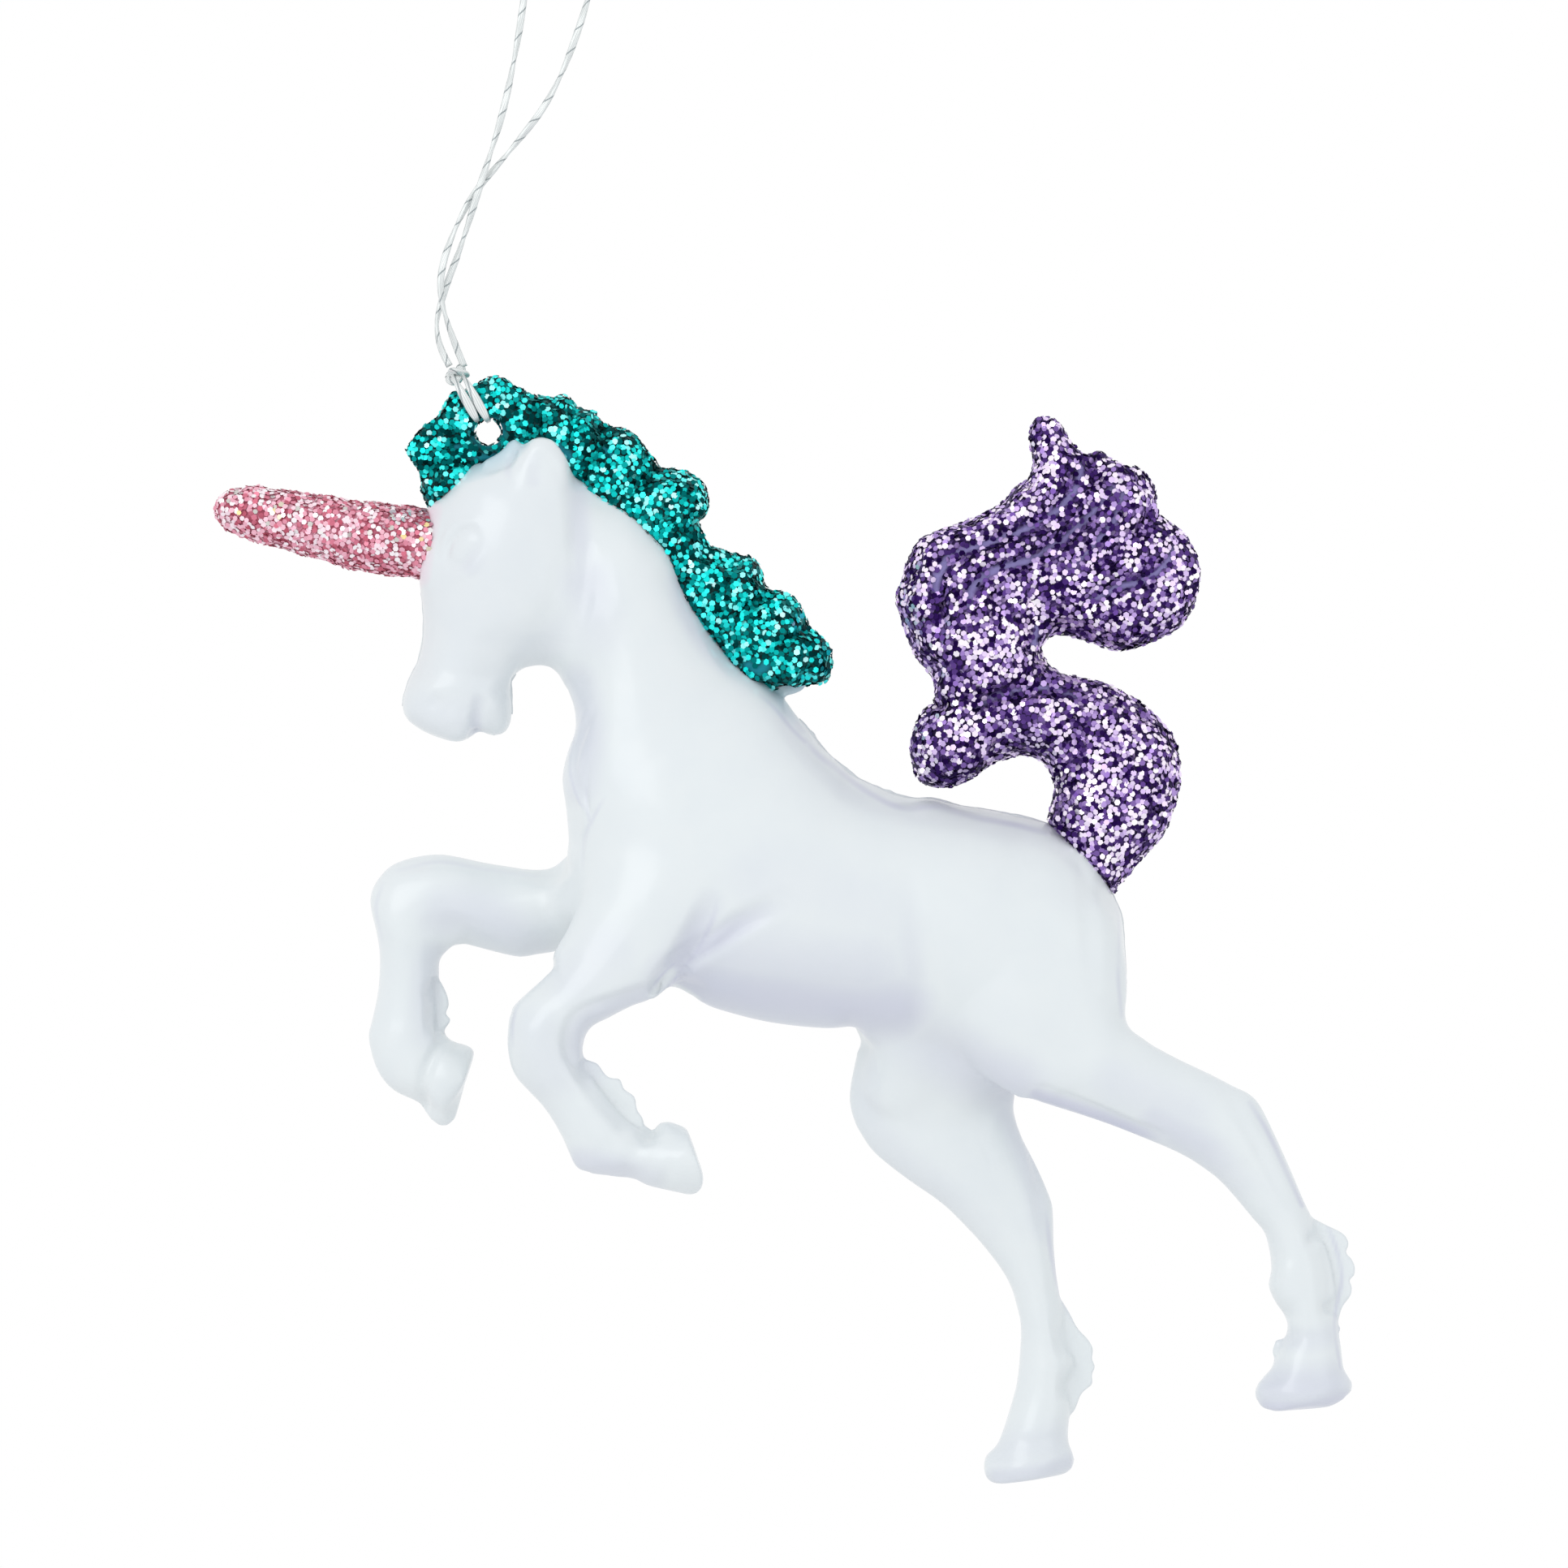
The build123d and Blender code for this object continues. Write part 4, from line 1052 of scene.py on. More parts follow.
# Strokes along which shade is painted into the plastic's colour, each lift the share of the painted shade: in folds,
# creases and hollows, under the jaw, belly and limbs, at the hooves, and as fine dark lines beside the parting's thin
# edges.
SHADES = (
    *strokes(
        (0.07, 13, ((60, 64), (58, 76), (57, 86))),
        (0.26, 2.2, ((71.4, 60), (71.6, 66), (72.2, 70, 0.6))),
        (0.26, 5, ((72.4, 72), (74, 78, 0.5))),
        (0.34, 2.3, (
            (83.2, 69.6, 0.2), (83.8, 72), (84.8, 75.4), (86.8, 78.8), (89.4, 81.6, 0.8), (92.4, 84.2, 0.3)
        )),
        (0.22, 1.2, ((94.6, 84.8), (96.6, 87), (98.8, 89.8))),
        (0.12, 1.8, ((53.6, 86.7),)),
        (0.16, 1.6, ((65.8, 56.8, 0.5), (65.8, 59.4))),
        (0.22, 0.8, ((64.4, 55, 0.8), (63.3, 56.3), (62.7, 57.8), (63, 59.2, 0.4))),
        (0.34, 0.44, (
            (71.8, 88, 0.3), (70.7, 91.3), (70.3, 94.1, 0.7), (70.5, 95.9), (71.3, 98.5), (72.1, 99.6, 0.5)
        )),
        (0.3, 0.44, ((72.7, 87.6, 0.3), (71.6, 90.2), (71, 92.4, 0.7), (70.9, 94.6, 0.3))),
        (0.26, 0.44, ((72.9, 95.2, 0.2), (72.4, 97.2), (72.4, 99.4), (72.8, 101.2, 0.8))),
        (0.24, 0.44, ((74.6, 98.2, 0.2), (73.5, 100.2), (72.8, 101.6, 0.9))),
        (0.26, 0.42, ((72.6, 101.8, 0.9), (72.1, 103.8, 0.6), (71.8, 107, 0.2))),
        (0.4, 0.44, (
            (163.3, 150.8, 0.4), (164.3, 153.4), (164.8, 155.4, 0.7), (165, 157.4), (164.4, 160.6),
            (164.1, 163.7, 0.7), (164.8, 168.2)
        )),
        (0.12, 5, ((53, 87.6), (58, 88.6))),
    ),
    *strokes(
        (0.1, 3.6, ((64.4, 80.4, 0.7), (68, 79), (70.4, 76, 0.6), (71.8, 71, 0.3))),
        (0.3, 3.4, ((71.4, 84, 0.7), (72.4, 90), (71.6, 97, 0.7))),
        wrap=0.2,
    ),
    *strokes(
        (0.22, 0.9, ((70.3, 57.8, 0.3), (70.9, 62), (71.2, 66), (71.4, 70), (71, 74, 0.3))),
        wrap=0.5,
    ),
    *strokes(
        (0.4, 1.4, ((97.4, 84.6), (99.4, 84.4))),
        (0.36, 6, ((112, 127, 0.4), (118, 130.6, 0.8), (124.6, 133.6))),
        side=Side.ALL,
    ),
    *strokes(
        (0.35, 0.45, ((93.6, 85.6, 0.3), (95.4, 87.2), (97.4, 89.6), (99.2, 91.4))),
        (0.42, 0.6, (
            (99.2, 91.2, 0.4), (101, 93.2), (103, 94.7, 0.6), (106, 97), (108, 98.2), (110, 99.2), (112, 99.6, 0.5),
            (115, 99.4, 0.7), (117, 99.8, 0.4), (120, 100.7, 0.6), (125, 101.6), (129, 102.7, 0.4)
        )),
        wrap=0.1,
    ),
    *strokes(
        (0.5, 6, ((84, 120.8), (90, 122.2), (98, 123.4), (106, 124.4), (110.6, 124.2))),
        (0.6, 1.7, ((127.4, 134.8), (134, 137), (139.6, 139.2), (143, 140.2, 0.3))),
        (0.55, 0.8, ((128.5, 135.2, 0.4), (134, 137), (138.5, 138.8), (141, 139.8, 0.4))),
        side=Side.NEAR, wrap=0.05,
    ),
    *strokes(
        (0.26, 9, ((88, 119), (98, 120.4), (106, 121))),
        (0.3, 3.4, ((142, 137.6), (148, 141.2), (152, 145.4, 0.3))),
        (0.16, 2.4, ((157, 164.4), (160.6, 164.8), (164.4, 164))),
        (0.3, 0.46, ((137.5, 111, 0.3), (137.8, 114, 0.8), (137.6, 118, 0.4), (137.6, 121), (138, 125, 0.7))),
        side=Side.NEAR, wrap=0.2,
    ),
    *strokes(
        (0.45, 2.9, ((82.6, 120.4), (85.4, 115.8), (87.6, 111.4, 0.3))),
        (0.55, 0.8, ((88.6, 110.2, 0.1), (88, 112.6, 0.6), (86.9, 115.3), (85.6, 117.6), (83.4, 120))),
        (0.5, 0.8, ((95.6, 112.3, 0.1), (92.2, 114, 0.6), (88.8, 115.8), (86.2, 117.4))),
        (0.75, 0.42, ((79.7, 122.6, 0.4), (81.1, 120.7), (82.6, 119.1), (83.6, 118.4, 0.4))),
        (0.75, 0.42, ((81.2, 123, 0.4), (82.4, 121.9), (83.2, 120.6), (83.6, 119.4, 0.4))),
        (0.45, 2.6, ((84, 118.4), (90, 114.8), (96, 111.4, 0.2))),
        (0.3, 2.8, ((81.6, 121.8), (76.4, 123.8), (72.6, 125.8), (71.4, 128.8), (72.8, 132, 0.5))),
        (0.3, 3, ((71.6, 143), (76, 144), (80, 145, 0.6))),
        (0.48, 2.3, ((155.8, 173), (160.6, 173), (165, 172))),
        (0.3, 0.45, ((64, 123.4, 0.3), (63.4, 126), (63.4, 128.6, 0.4))),
        (0.45, 0.55, ((153.7, 135.7, 0.4), (155.9, 139.3), (158.1, 144, 0.7), (160.1, 148.2))),
        side=Side.NEAR, wrap=0.1,
    ),
    *strokes(
        (0.16, 2.8, ((110.8, 106, 0.1), (111.4, 112, 0.5), (112.2, 119), (112.2, 124))),
        (0.34, 4.4, ((156.6, 170.6), (163.6, 170.2))),
        (0.12, 5, ((66.4, 127), (68.6, 132))),
        (0.16, 4.4, ((137, 133), (146, 137))),
        (0.12, 5, ((70.6, 120.6), (75, 117))),
        (0.08, 7, ((94, 108), (104, 110), (109, 112))),
        side=Side.NEAR,
    ),
    *strokes(
        (0.1, 3.2, ((107.4, 130, 0.5), (106.6, 136), (110, 142), (116, 147), (121.6, 152, 0.4))),
        side=Side.INNER_FAR, wrap=0.3,
    ),
    *strokes(
        (0.24, 2.4, ((124, 137), (127, 144), (128.6, 152, 0.4))),
        side=Side.INNER_FAR, wrap=0.2,
    ),
    *strokes(
        (0.24, 4.8, ((55, 112.6), (58, 112.2), (62, 114.2), (65.6, 116.4, 0.7))),
        (0.2, 3.2, ((53.4, 118), (52.6, 122), (52.6, 127, 0.6))),
        (0.28, 2.2, ((123, 182.2), (127.4, 181.6), (131.8, 180.4))),
        (0.18, 0.45, ((48.8, 107.3, 0.3), (54, 106.2), (60, 107.2, 0.6), (66, 108, 0.3))),
        (0.18, 0.45, ((47, 109, 0.4), (46.2, 112), (47, 116, 0.3))),
        (0.4, 0.55, ((128.9, 149, 0.3), (129.4, 153), (130.2, 157.4, 0.8), (131.4, 161, 0.5), (132.4, 163, 0.2))),
        side=Side.INNER_FAR, wrap=0.1,
    ),
    *strokes(
        (0.35, 1.5, ((58.8, 86.4, 0.5), (58.6, 90.2))),
        wrap=0.15,
    ),
    *strokes(
        (0.18, 2.6, ((58.2, 70), (59.8, 67.4, 0.5))),
        wrap=0.6,
    ),
    *strokes(
        (0.14, 4, ((124, 179), (130, 178))),
        side=Side.INNER_FAR,
    ),
)
# Strokes along which the painted shade is taken off again, so that the thin flash bit by the elbow and the place
# beside it show light.
LIGHTS = strokes(
    (0.95, 1.1, ((80.6, 122.3), (81.8, 120.9), (82.8, 119.7))),
    (0.95, 0.8, ((83.2, 121.6), (84.6, 122.3), (85.8, 123.2))),
    side=Side.NEAR, wrap=0.1,
)
BODY_OUTLINE: Path = (
    (66.8, 54), (68, 54.2), (68.8, 55), (69.8, 56.4), (70.4, 57.8), (70.9, 58.9), (72.2, 59.4), (74, 60),
    (76.5, 60.8), (77.8, 61.7), (80, 64), (82, 66.5), (83.5, 69), (84.5, 71.5), (85.5, 73.5), (87, 75.5), (89, 79),
    (90, 80.5), (91.5, 82), (94, 84), (96.5, 86), (98, 88), (99.7, 90), (101, 91.8), (103, 93.7), (105, 95.5),
    (107, 96.5), (110, 97.8), (112, 98.3), (115, 98.4), (118, 99.2), (122, 99.8), (125, 100.5), (128.5, 101.3),
    (130, 102), (134, 104.5), (136, 107.8), (137.2, 110.5), (138.2, 113), (138.6, 118), (138.7, 122), (138.6, 125.8),
    (140.9, 128), (144.3, 130), (148.5, 132), (152, 133.8), (153.5, 134.5), (155, 136), (157, 140), (158.8, 144),
    (160.5, 148), (161.8, 150.6), (163, 153.4), (163.8, 156.4), (164.2, 159.4), (164.4, 162), (165, 166),
    (165.3, 168.5), (166.1, 169.5), (166.2, 171.2), (164, 172.8), (162, 173.2), (157.5, 173.5), (155.5, 173.2),
    (154.6, 172.2), (154.4, 171), (155.3, 169.4), (156.5, 168.2), (157.1, 166.4), (157.8, 164.8), (158.5, 163.4),
    (158.1, 162), (156.8, 160), (156, 158), (156.4, 156), (155.7, 152), (154.2, 150), (150.8, 146), (148.5, 144),
    (145.3, 142), (140.7, 140), (135.5, 138), (129.3, 136), (126.2, 135.1), (125.1, 135.8), (125, 137), (125.9, 140),
    (127.9, 144), (129.6, 148), (129.9, 150), (130, 154), (130.4, 158), (131.2, 162), (132, 165.4), (132.5, 168.4),
    (132.4, 171.4), (132, 174.5), (131.8, 176), (131.8, 178), (132.5, 180), (132.2, 181.2), (131, 182), (125, 182.9),
    (122.8, 183.1), (121.7, 182.5), (121.3, 181), (121.7, 179.5), (123.1, 178), (124.5, 174), (125.5, 170),
    (125.9, 164.5), (125.6, 162), (124.3, 158), (121.5, 154), (117.8, 150), (115.5, 148), (112.6, 146), (109.9, 144),
    (107.6, 142), (106.2, 140), (105.2, 138), (104.7, 135), (105.6, 130), (106.2, 126.8), (102, 126.7), (98, 126.4),
    (94, 125.8), (90, 124.8), (87, 123.8), (85, 122.5), (82.5, 121.5), (80, 123.1), (78, 123.8), (74.5, 125.6),
    (72.8, 126.6), (71.9, 129), (72.4, 131), (73.6, 133.4), (75.2, 135.6), (77, 137.6), (79, 138.8), (80.5, 138.6),
    (82.2, 138), (84.5, 138.8), (85.1, 140), (85.8, 142), (86.8, 145.5), (85.5, 147), (84, 146.8), (80, 145.9),
    (78, 145), (76, 144.8), (71.6, 144), (70.3, 142), (69.4, 140), (68.3, 138), (66.9, 136), (65, 134), (63.4, 132),
    (62.7, 129), (62.8, 126), (63.3, 124), (64.9, 122.4), (66.9, 120.6), (68.6, 118.9), (69.3, 118.1), (68.6, 117.7),
    (66.5, 117.6), (64, 118), (61, 117.4), (57, 116.4), (55.5, 116.7), (54, 118.5), (54, 120), (54.1, 122),
    (54.2, 124), (54.3, 126), (54.8, 128), (57, 128.8), (58.3, 129.7), (57.3, 133), (56.4, 136.4), (55.7, 138.3),
    (54.4, 138.9), (53.1, 138.3), (52.1, 136.9), (51.2, 135.9), (48.2, 134.4), (46.2, 131.8), (45.2, 128),
    (45.6, 126), (46.4, 122), (46.6, 118), (46.2, 115), (45.4, 111), (46.5, 108.2), (49, 106.2), (54, 105.3),
    (60, 106.4), (66, 107.2), (68.5, 106.6), (70, 104.5), (69.8, 100), (69.5, 98), (69.3, 96), (69.6, 94), (70.2, 92),
    (70.9, 90), (70.8, 87.5), (70.3, 85.8), (69.5, 84.3), (68.3, 82.5), (66.8, 82), (65, 82.2), (63.5, 83),
    (62.9, 84), (63.1, 87.5), (62.8, 89.3), (62, 90.4), (60.8, 90.7), (58.9, 90.1), (57.8, 91), (56, 91.4),
    (53, 90.5), (50.8, 89.2), (49.9, 88.2), (49.6, 87), (49.8, 85.5), (50.5, 83.5), (51.5, 81.5), (52.1, 79),
    (52.2, 76.5), (52, 74), (51.7, 71.5), (52, 67), (52.7, 62.5), (54.5, 60.5), (56, 58.8), (58, 57.3), (60, 56.6),
    (61.6, 55.8), (62.6, 54.6), (63.4, 54), (64.6, 54.9), (65.6, 54.2),
)
HORN_OUTLINE: Path = (
    (51.5, 71.4), (48, 70.9), (44, 70.3), (40, 69.2), (36, 68), (33, 67.2), (29, 66), (27, 64.5), (26.4, 62.8),
    (27, 61.2), (28.5, 60.3), (32, 59.8), (34.5, 60.3), (40, 61), (44, 61.7), (48, 62), (52.5, 62.7),
)
MANE_OUTLINE: Path = (
    (52.7, 62.5), (51.8, 60), (51.8, 58.5), (51.3, 57.5), (50.1, 55.5), (51.1, 54), (52, 52.7), (54, 51.2),
    (54.8, 49.5), (56, 48.2), (57.3, 48), (58.3, 47.5), (60.5, 46.3), (62.2, 46.5), (63.7, 47.8), (64.8, 47.9),
    (65.5, 48.7), (66.2, 50), (68, 48.7), (69.2, 48.5), (70.5, 49.2), (71.2, 50.2), (73.5, 50.7), (74.2, 52),
    (77.5, 53), (79, 54.3), (80, 55.8), (82, 57.5), (84, 57.8), (86, 58.8), (87, 60), (87.4, 62.2), (86.8, 64),
    (86, 66.2), (88, 67.4), (90, 68.1), (92.5, 68.5), (93.8, 70), (94.5, 73), (96, 72.6), (98.2, 74), (99.6, 76.5),
    (100.8, 78), (102.4, 80), (102.3, 83.2), (101, 84.4), (98.5, 84.6), (96.5, 84.4),
)
TAIL_OUTLINE: Path = (
    (130, 102), (129, 101.3), (129.8, 98), (129.6, 96), (128.4, 94), (126.2, 93.1), (122.6, 94), (119.7, 96),
    (116.5, 97.1), (113.3, 96.2), (112.3, 93.5), (112.4, 90.5), (113.4, 88), (115.7, 84.8), (113.5, 82), (112.3, 80),
    (111.1, 76.5), (110.4, 74), (110.8, 72), (112.2, 68), (114.1, 66), (119.4, 64), (123.3, 62), (125.1, 60),
    (127, 58.5), (127.1, 56), (126.5, 52.5), (128.2, 51.3), (130.5, 52), (131.8, 54), (133.5, 56), (135, 55.5),
    (136.3, 55.8), (138, 57.5), (140, 57.3), (142.3, 60), (142.7, 63.2), (144, 64), (146.1, 66), (147.3, 68),
    (147.8, 70.5), (147.3, 74), (146.4, 76), (144.4, 78), (139, 80.1), (136, 79.8), (131.5, 78.3), (128.5, 78.5),
    (128.3, 80), (129.6, 82), (131.5, 83.2), (135.9, 84), (139.7, 86), (142.4, 88), (144, 90), (145.1, 92),
    (145.5, 95.5), (145.2, 98), (143.8, 102), (142.4, 104), (140.6, 106), (138.9, 108), (137.2, 110.3),
)


def plate(outline: Path, y: float, half: float) -> Object:
    """Cut a flat plate with a drawn outline.

    Args:
        outline: its outline on the sheet.
        y: how far its middle lies off the middle plane, in millimetres.
        half: half its thickness in millimetres.

    Returns:
        The plate.
    """
    rows = even_line(outline, PLATE_STEP, True)
    count = len(rows)
    verts = [SHEET.place(across, down, (y + side * half) * MM) for side in (-1, 1) for across, down in rows]
    faces = [tuple(range(count)), tuple(range(2 * count - 1, count - 1, -1))]
    faces += [(index, count + index, count + (index + 1) % count, (index + 1) % count) for index in range(count)]
    piece = built("plate", verts, faces)
    with editing(piece):
        bpy.ops.mesh.quads_convert_to_tris()
        bpy.ops.mesh.normals_make_consistent(inside=False)
    return piece


@dataclass
class MouldedBody:
    """The body, moulded in two halves that meet on the middle plane.

    Args:
        voxel: size of the skin's squares.
        first_softening, softening, last_softening: passes of smoothing all over, before and after the feathers
            are joined on and once the strokes are done.
        join_voxel: size of the squares while limbs, head and trunk are joined.
        join_softening: passes of smoothing where they meet.
        cut_threshold: how near the middle plane a vertex counts as lying in it.
        horn_root: the line where the horn's glue tint begins.
        horn_reach, horn_fade, horn_strength: its reach in squares, how it fades and how strong it is.
        crest: the line along which the mane's glue stains the plastic.
        crest_reach, crest_depth: how far it reaches, in squares and off the middle plane.
        crest_fade, crest_strength: how it fades and how strong it is.
        stain_depth, stain_strength: how far to the far side the lesser stains reach and how strong they are.
        stains: lines where the glue stains it on the near side too, each with its reach in squares.
        flash_reach: how far the thin edge at the parting stands out.
        flash_steps: points to each stretch of it.
        flash_waver: how quickly its reach wavers, in turns to a square.
        flash_bed: how deep it is rooted.
        flash_root, flash_lip: half its thickness in the skin and at its rim.
    """

    voxel: float = 0.26 * MM
    first_softening: int = 2
    softening: int = 6
    last_softening: int = 2
    join_voxel: float = 0.42 * MM
    join_softening: int = 120
    cut_threshold: float = 0.0001 * MM
    horn_root: Path = ((53.2, 63), (52.4, 67), (51.8, 71))
    horn_reach: float = 1.6
    horn_fade: float = 0.8
    horn_strength: float = 0.7
    crest_reach: float = 2.6
    crest_depth: float = 4.2 * MM
    crest_fade: float = 0.7
    crest_strength: float = 0.8
    stain_depth: float = -9.0 * MM
    stain_strength: float = 0.75
    crest: Path = (
        (55, 60), (60, 56.6), (64, 55.4), (71, 60), (77, 61.4), (84, 69.4), (90, 79.6), (97, 87)
    )
    stains: tuple[tuple[Path, float], ...] = (
        (((57.6, 57.6), (60.4, 56.6), (62.4, 55.2), (63.4, 54.2)), 2.2),
        (((84.6, 70.6), (85.6, 72.9), (87.5, 76), (89.2, 78.8), (90.8, 81), (93.7, 83.6), (96.2, 85.4)), 1.2),
        (((97, 84.6), (99.4, 84.4)), 1.6),
    )
    flash_reach: float = 0.26 * MM
    flash_steps: int = 14
    flash_waver: float = 0.9
    flash_bed: float = -0.4 * MM
    flash_root: float = 0.11 * MM
    flash_lip: float = 0.05 * MM

    def build(self, finish: Material) -> None:
        """Build, finish and settle both halves and the thin edge between them.

        Args:
            finish: the plastic.
        """
        whole = node_copy("body", "left_body_shell", "right_body_shell")
        whole = joined([whole, *(lobe.build() for lobe in BODY_FILLERS)], "body")
        moulded(whole, self.join_voxel, self.first_softening)
        soften(whole, JOINS, self.join_softening)
        fit_outline(whole, BODY_OUTLINE)
        whole = joined([whole, *(plate(*feather) for feather in FEATHERS)], "body")
        moulded(whole, self.voxel, self.softening)
        for marks in (
            NECK_AND_HEAD, EYE, MUZZLE, EARS, CHEST, SHOULDER, BARREL, NEAR_FORELEG, FAR_FORELEG, NEAR_HIND, FAR_HIND
        ):
            sculpt(whole, marks)
        smoothed(whole, self.last_softening)
        self.stain(whole)
        flash = self.flash(whole)
        for name, keep_near, node in (
            ("body_near_half", True, "left_body_shell"), ("body_far_half", False, "right_body_shell")
        ):
            half = self.half(whole, name, keep_near)
            half.data.materials.append(finish)
            shade_smooth(half)
            settle(half, "figurine", "white_plastic", node)
        flash.data.materials.append(finish)
        settle(flash, "figurine", "white_plastic")
        bpy.data.objects.remove(whole)

    def stain(self, piece: Object) -> None:
        """Write how strongly the horn's and the mane's glue tint each vertex, and how much shade is painted into it in
        folds, creases and undersides.

        Args:
            piece: the body.
        """
        places, normals = read_points(piece.data)
        sheet_places = SHEET.squares(places)
        inward = held(1.0 - np.abs(places[:, 1]) / self.crest_depth)

        def stained(line: Path, reach: float, fade: float) -> np.ndarray:
            """Let a glue tint fade out beside its line."""
            return held(1.0 - nearness(sheet_places, line)[0] / reach) ** fade

        horn = stained(self.horn_root, self.horn_reach, self.horn_fade) * self.horn_strength
        crest = stained(self.crest, self.crest_reach, self.crest_fade) * inward * self.crest_strength
        reached = places[:, 1] > self.stain_depth
        for line, reach in self.stains:
            crest = np.maximum(crest, stained(line, reach, self.crest_fade) * reached * self.stain_strength)
        # Shade painted into the plastic's colour along the SHADES strokes, taken off again along the LIGHTS strokes.
        painted_shade = strongest(SHADES, places, normals)
        for stroke in LIGHTS:
            painted_shade *= 1.0 - stroke.weights(places, normals) * stroke.lift
        colours = np.column_stack((horn, crest, painted_shade, np.ones(len(places))))
        attribute = piece.data.color_attributes.new("stain", "FLOAT_COLOR", "POINT")
        attribute.data.foreach_set("color", colours.astype(np.float32).ravel())

    def half(self, whole: Object, name: str, keep_near: bool) -> Object:
        """Cut one half off a copy of the body and close it.

        Args:
            whole: the body.
            name: the half's name.
            keep_near: whether the near half is kept.

        Returns:
            The half.
        """
        piece = placed(name, whole.data.copy())
        piece.data.name = name
        with editing(piece):
            bpy.ops.mesh.bisect(
                plane_co=(0.0, 0.0, 0.0), plane_no=SPREAD, clear_outer=keep_near, clear_inner=not keep_near,
                use_fill=True, threshold=self.cut_threshold,
            )
            bpy.ops.mesh.mark_sharp()
        return piece

    def flash(self, whole: Object) -> Object:
        """Build the thin wavering edge that the mould left along its parting.

        Args:
            whole: the body, whose skin the edge follows.

        Returns:
            The edge.
        """
        verts: list[Vector] = []
        faces: list[tuple[int, ...]] = []
        for path in FLASH_PATHS:
            rows = smooth_path(path, self.flash_steps)
            first = len(verts)
            for across, down, strength in rows:
                _, skin, normal, _ = whole.closest_point_on_mesh(SHEET.place(across, down))
                out = Vector((normal.x, 0.0, normal.z)).normalized()
                chance = noise.noise(Vector((across * self.flash_waver, down * self.flash_waver, 0.0)))
                reach = self.flash_reach * strength * (0.75 + 0.5 * chance)
                skin = Vector((skin.x, 0.0, skin.z))
                for y, along in (
                    (-self.flash_root, self.flash_bed), (-self.flash_lip, reach),
                    (self.flash_lip, reach), (self.flash_root, self.flash_bed),
                ):
                    verts.append(skin + out * along + SPREAD * y)
            count = len(rows)
            for ring in range(count - 1):
                for corner in range(4):
                    a, b = first + ring * 4 + corner, first + ring * 4 + (corner + 1) % 4
                    faces.append((a, b, b + 4, a + 4))
            faces.append((first + 3, first + 2, first + 1, first))
            last = first + (count - 1) * 4
            faces.append((last, last + 1, last + 2, last + 3))
        return close_up(built("body_parting_edge", verts, faces))


# Glittered pieces


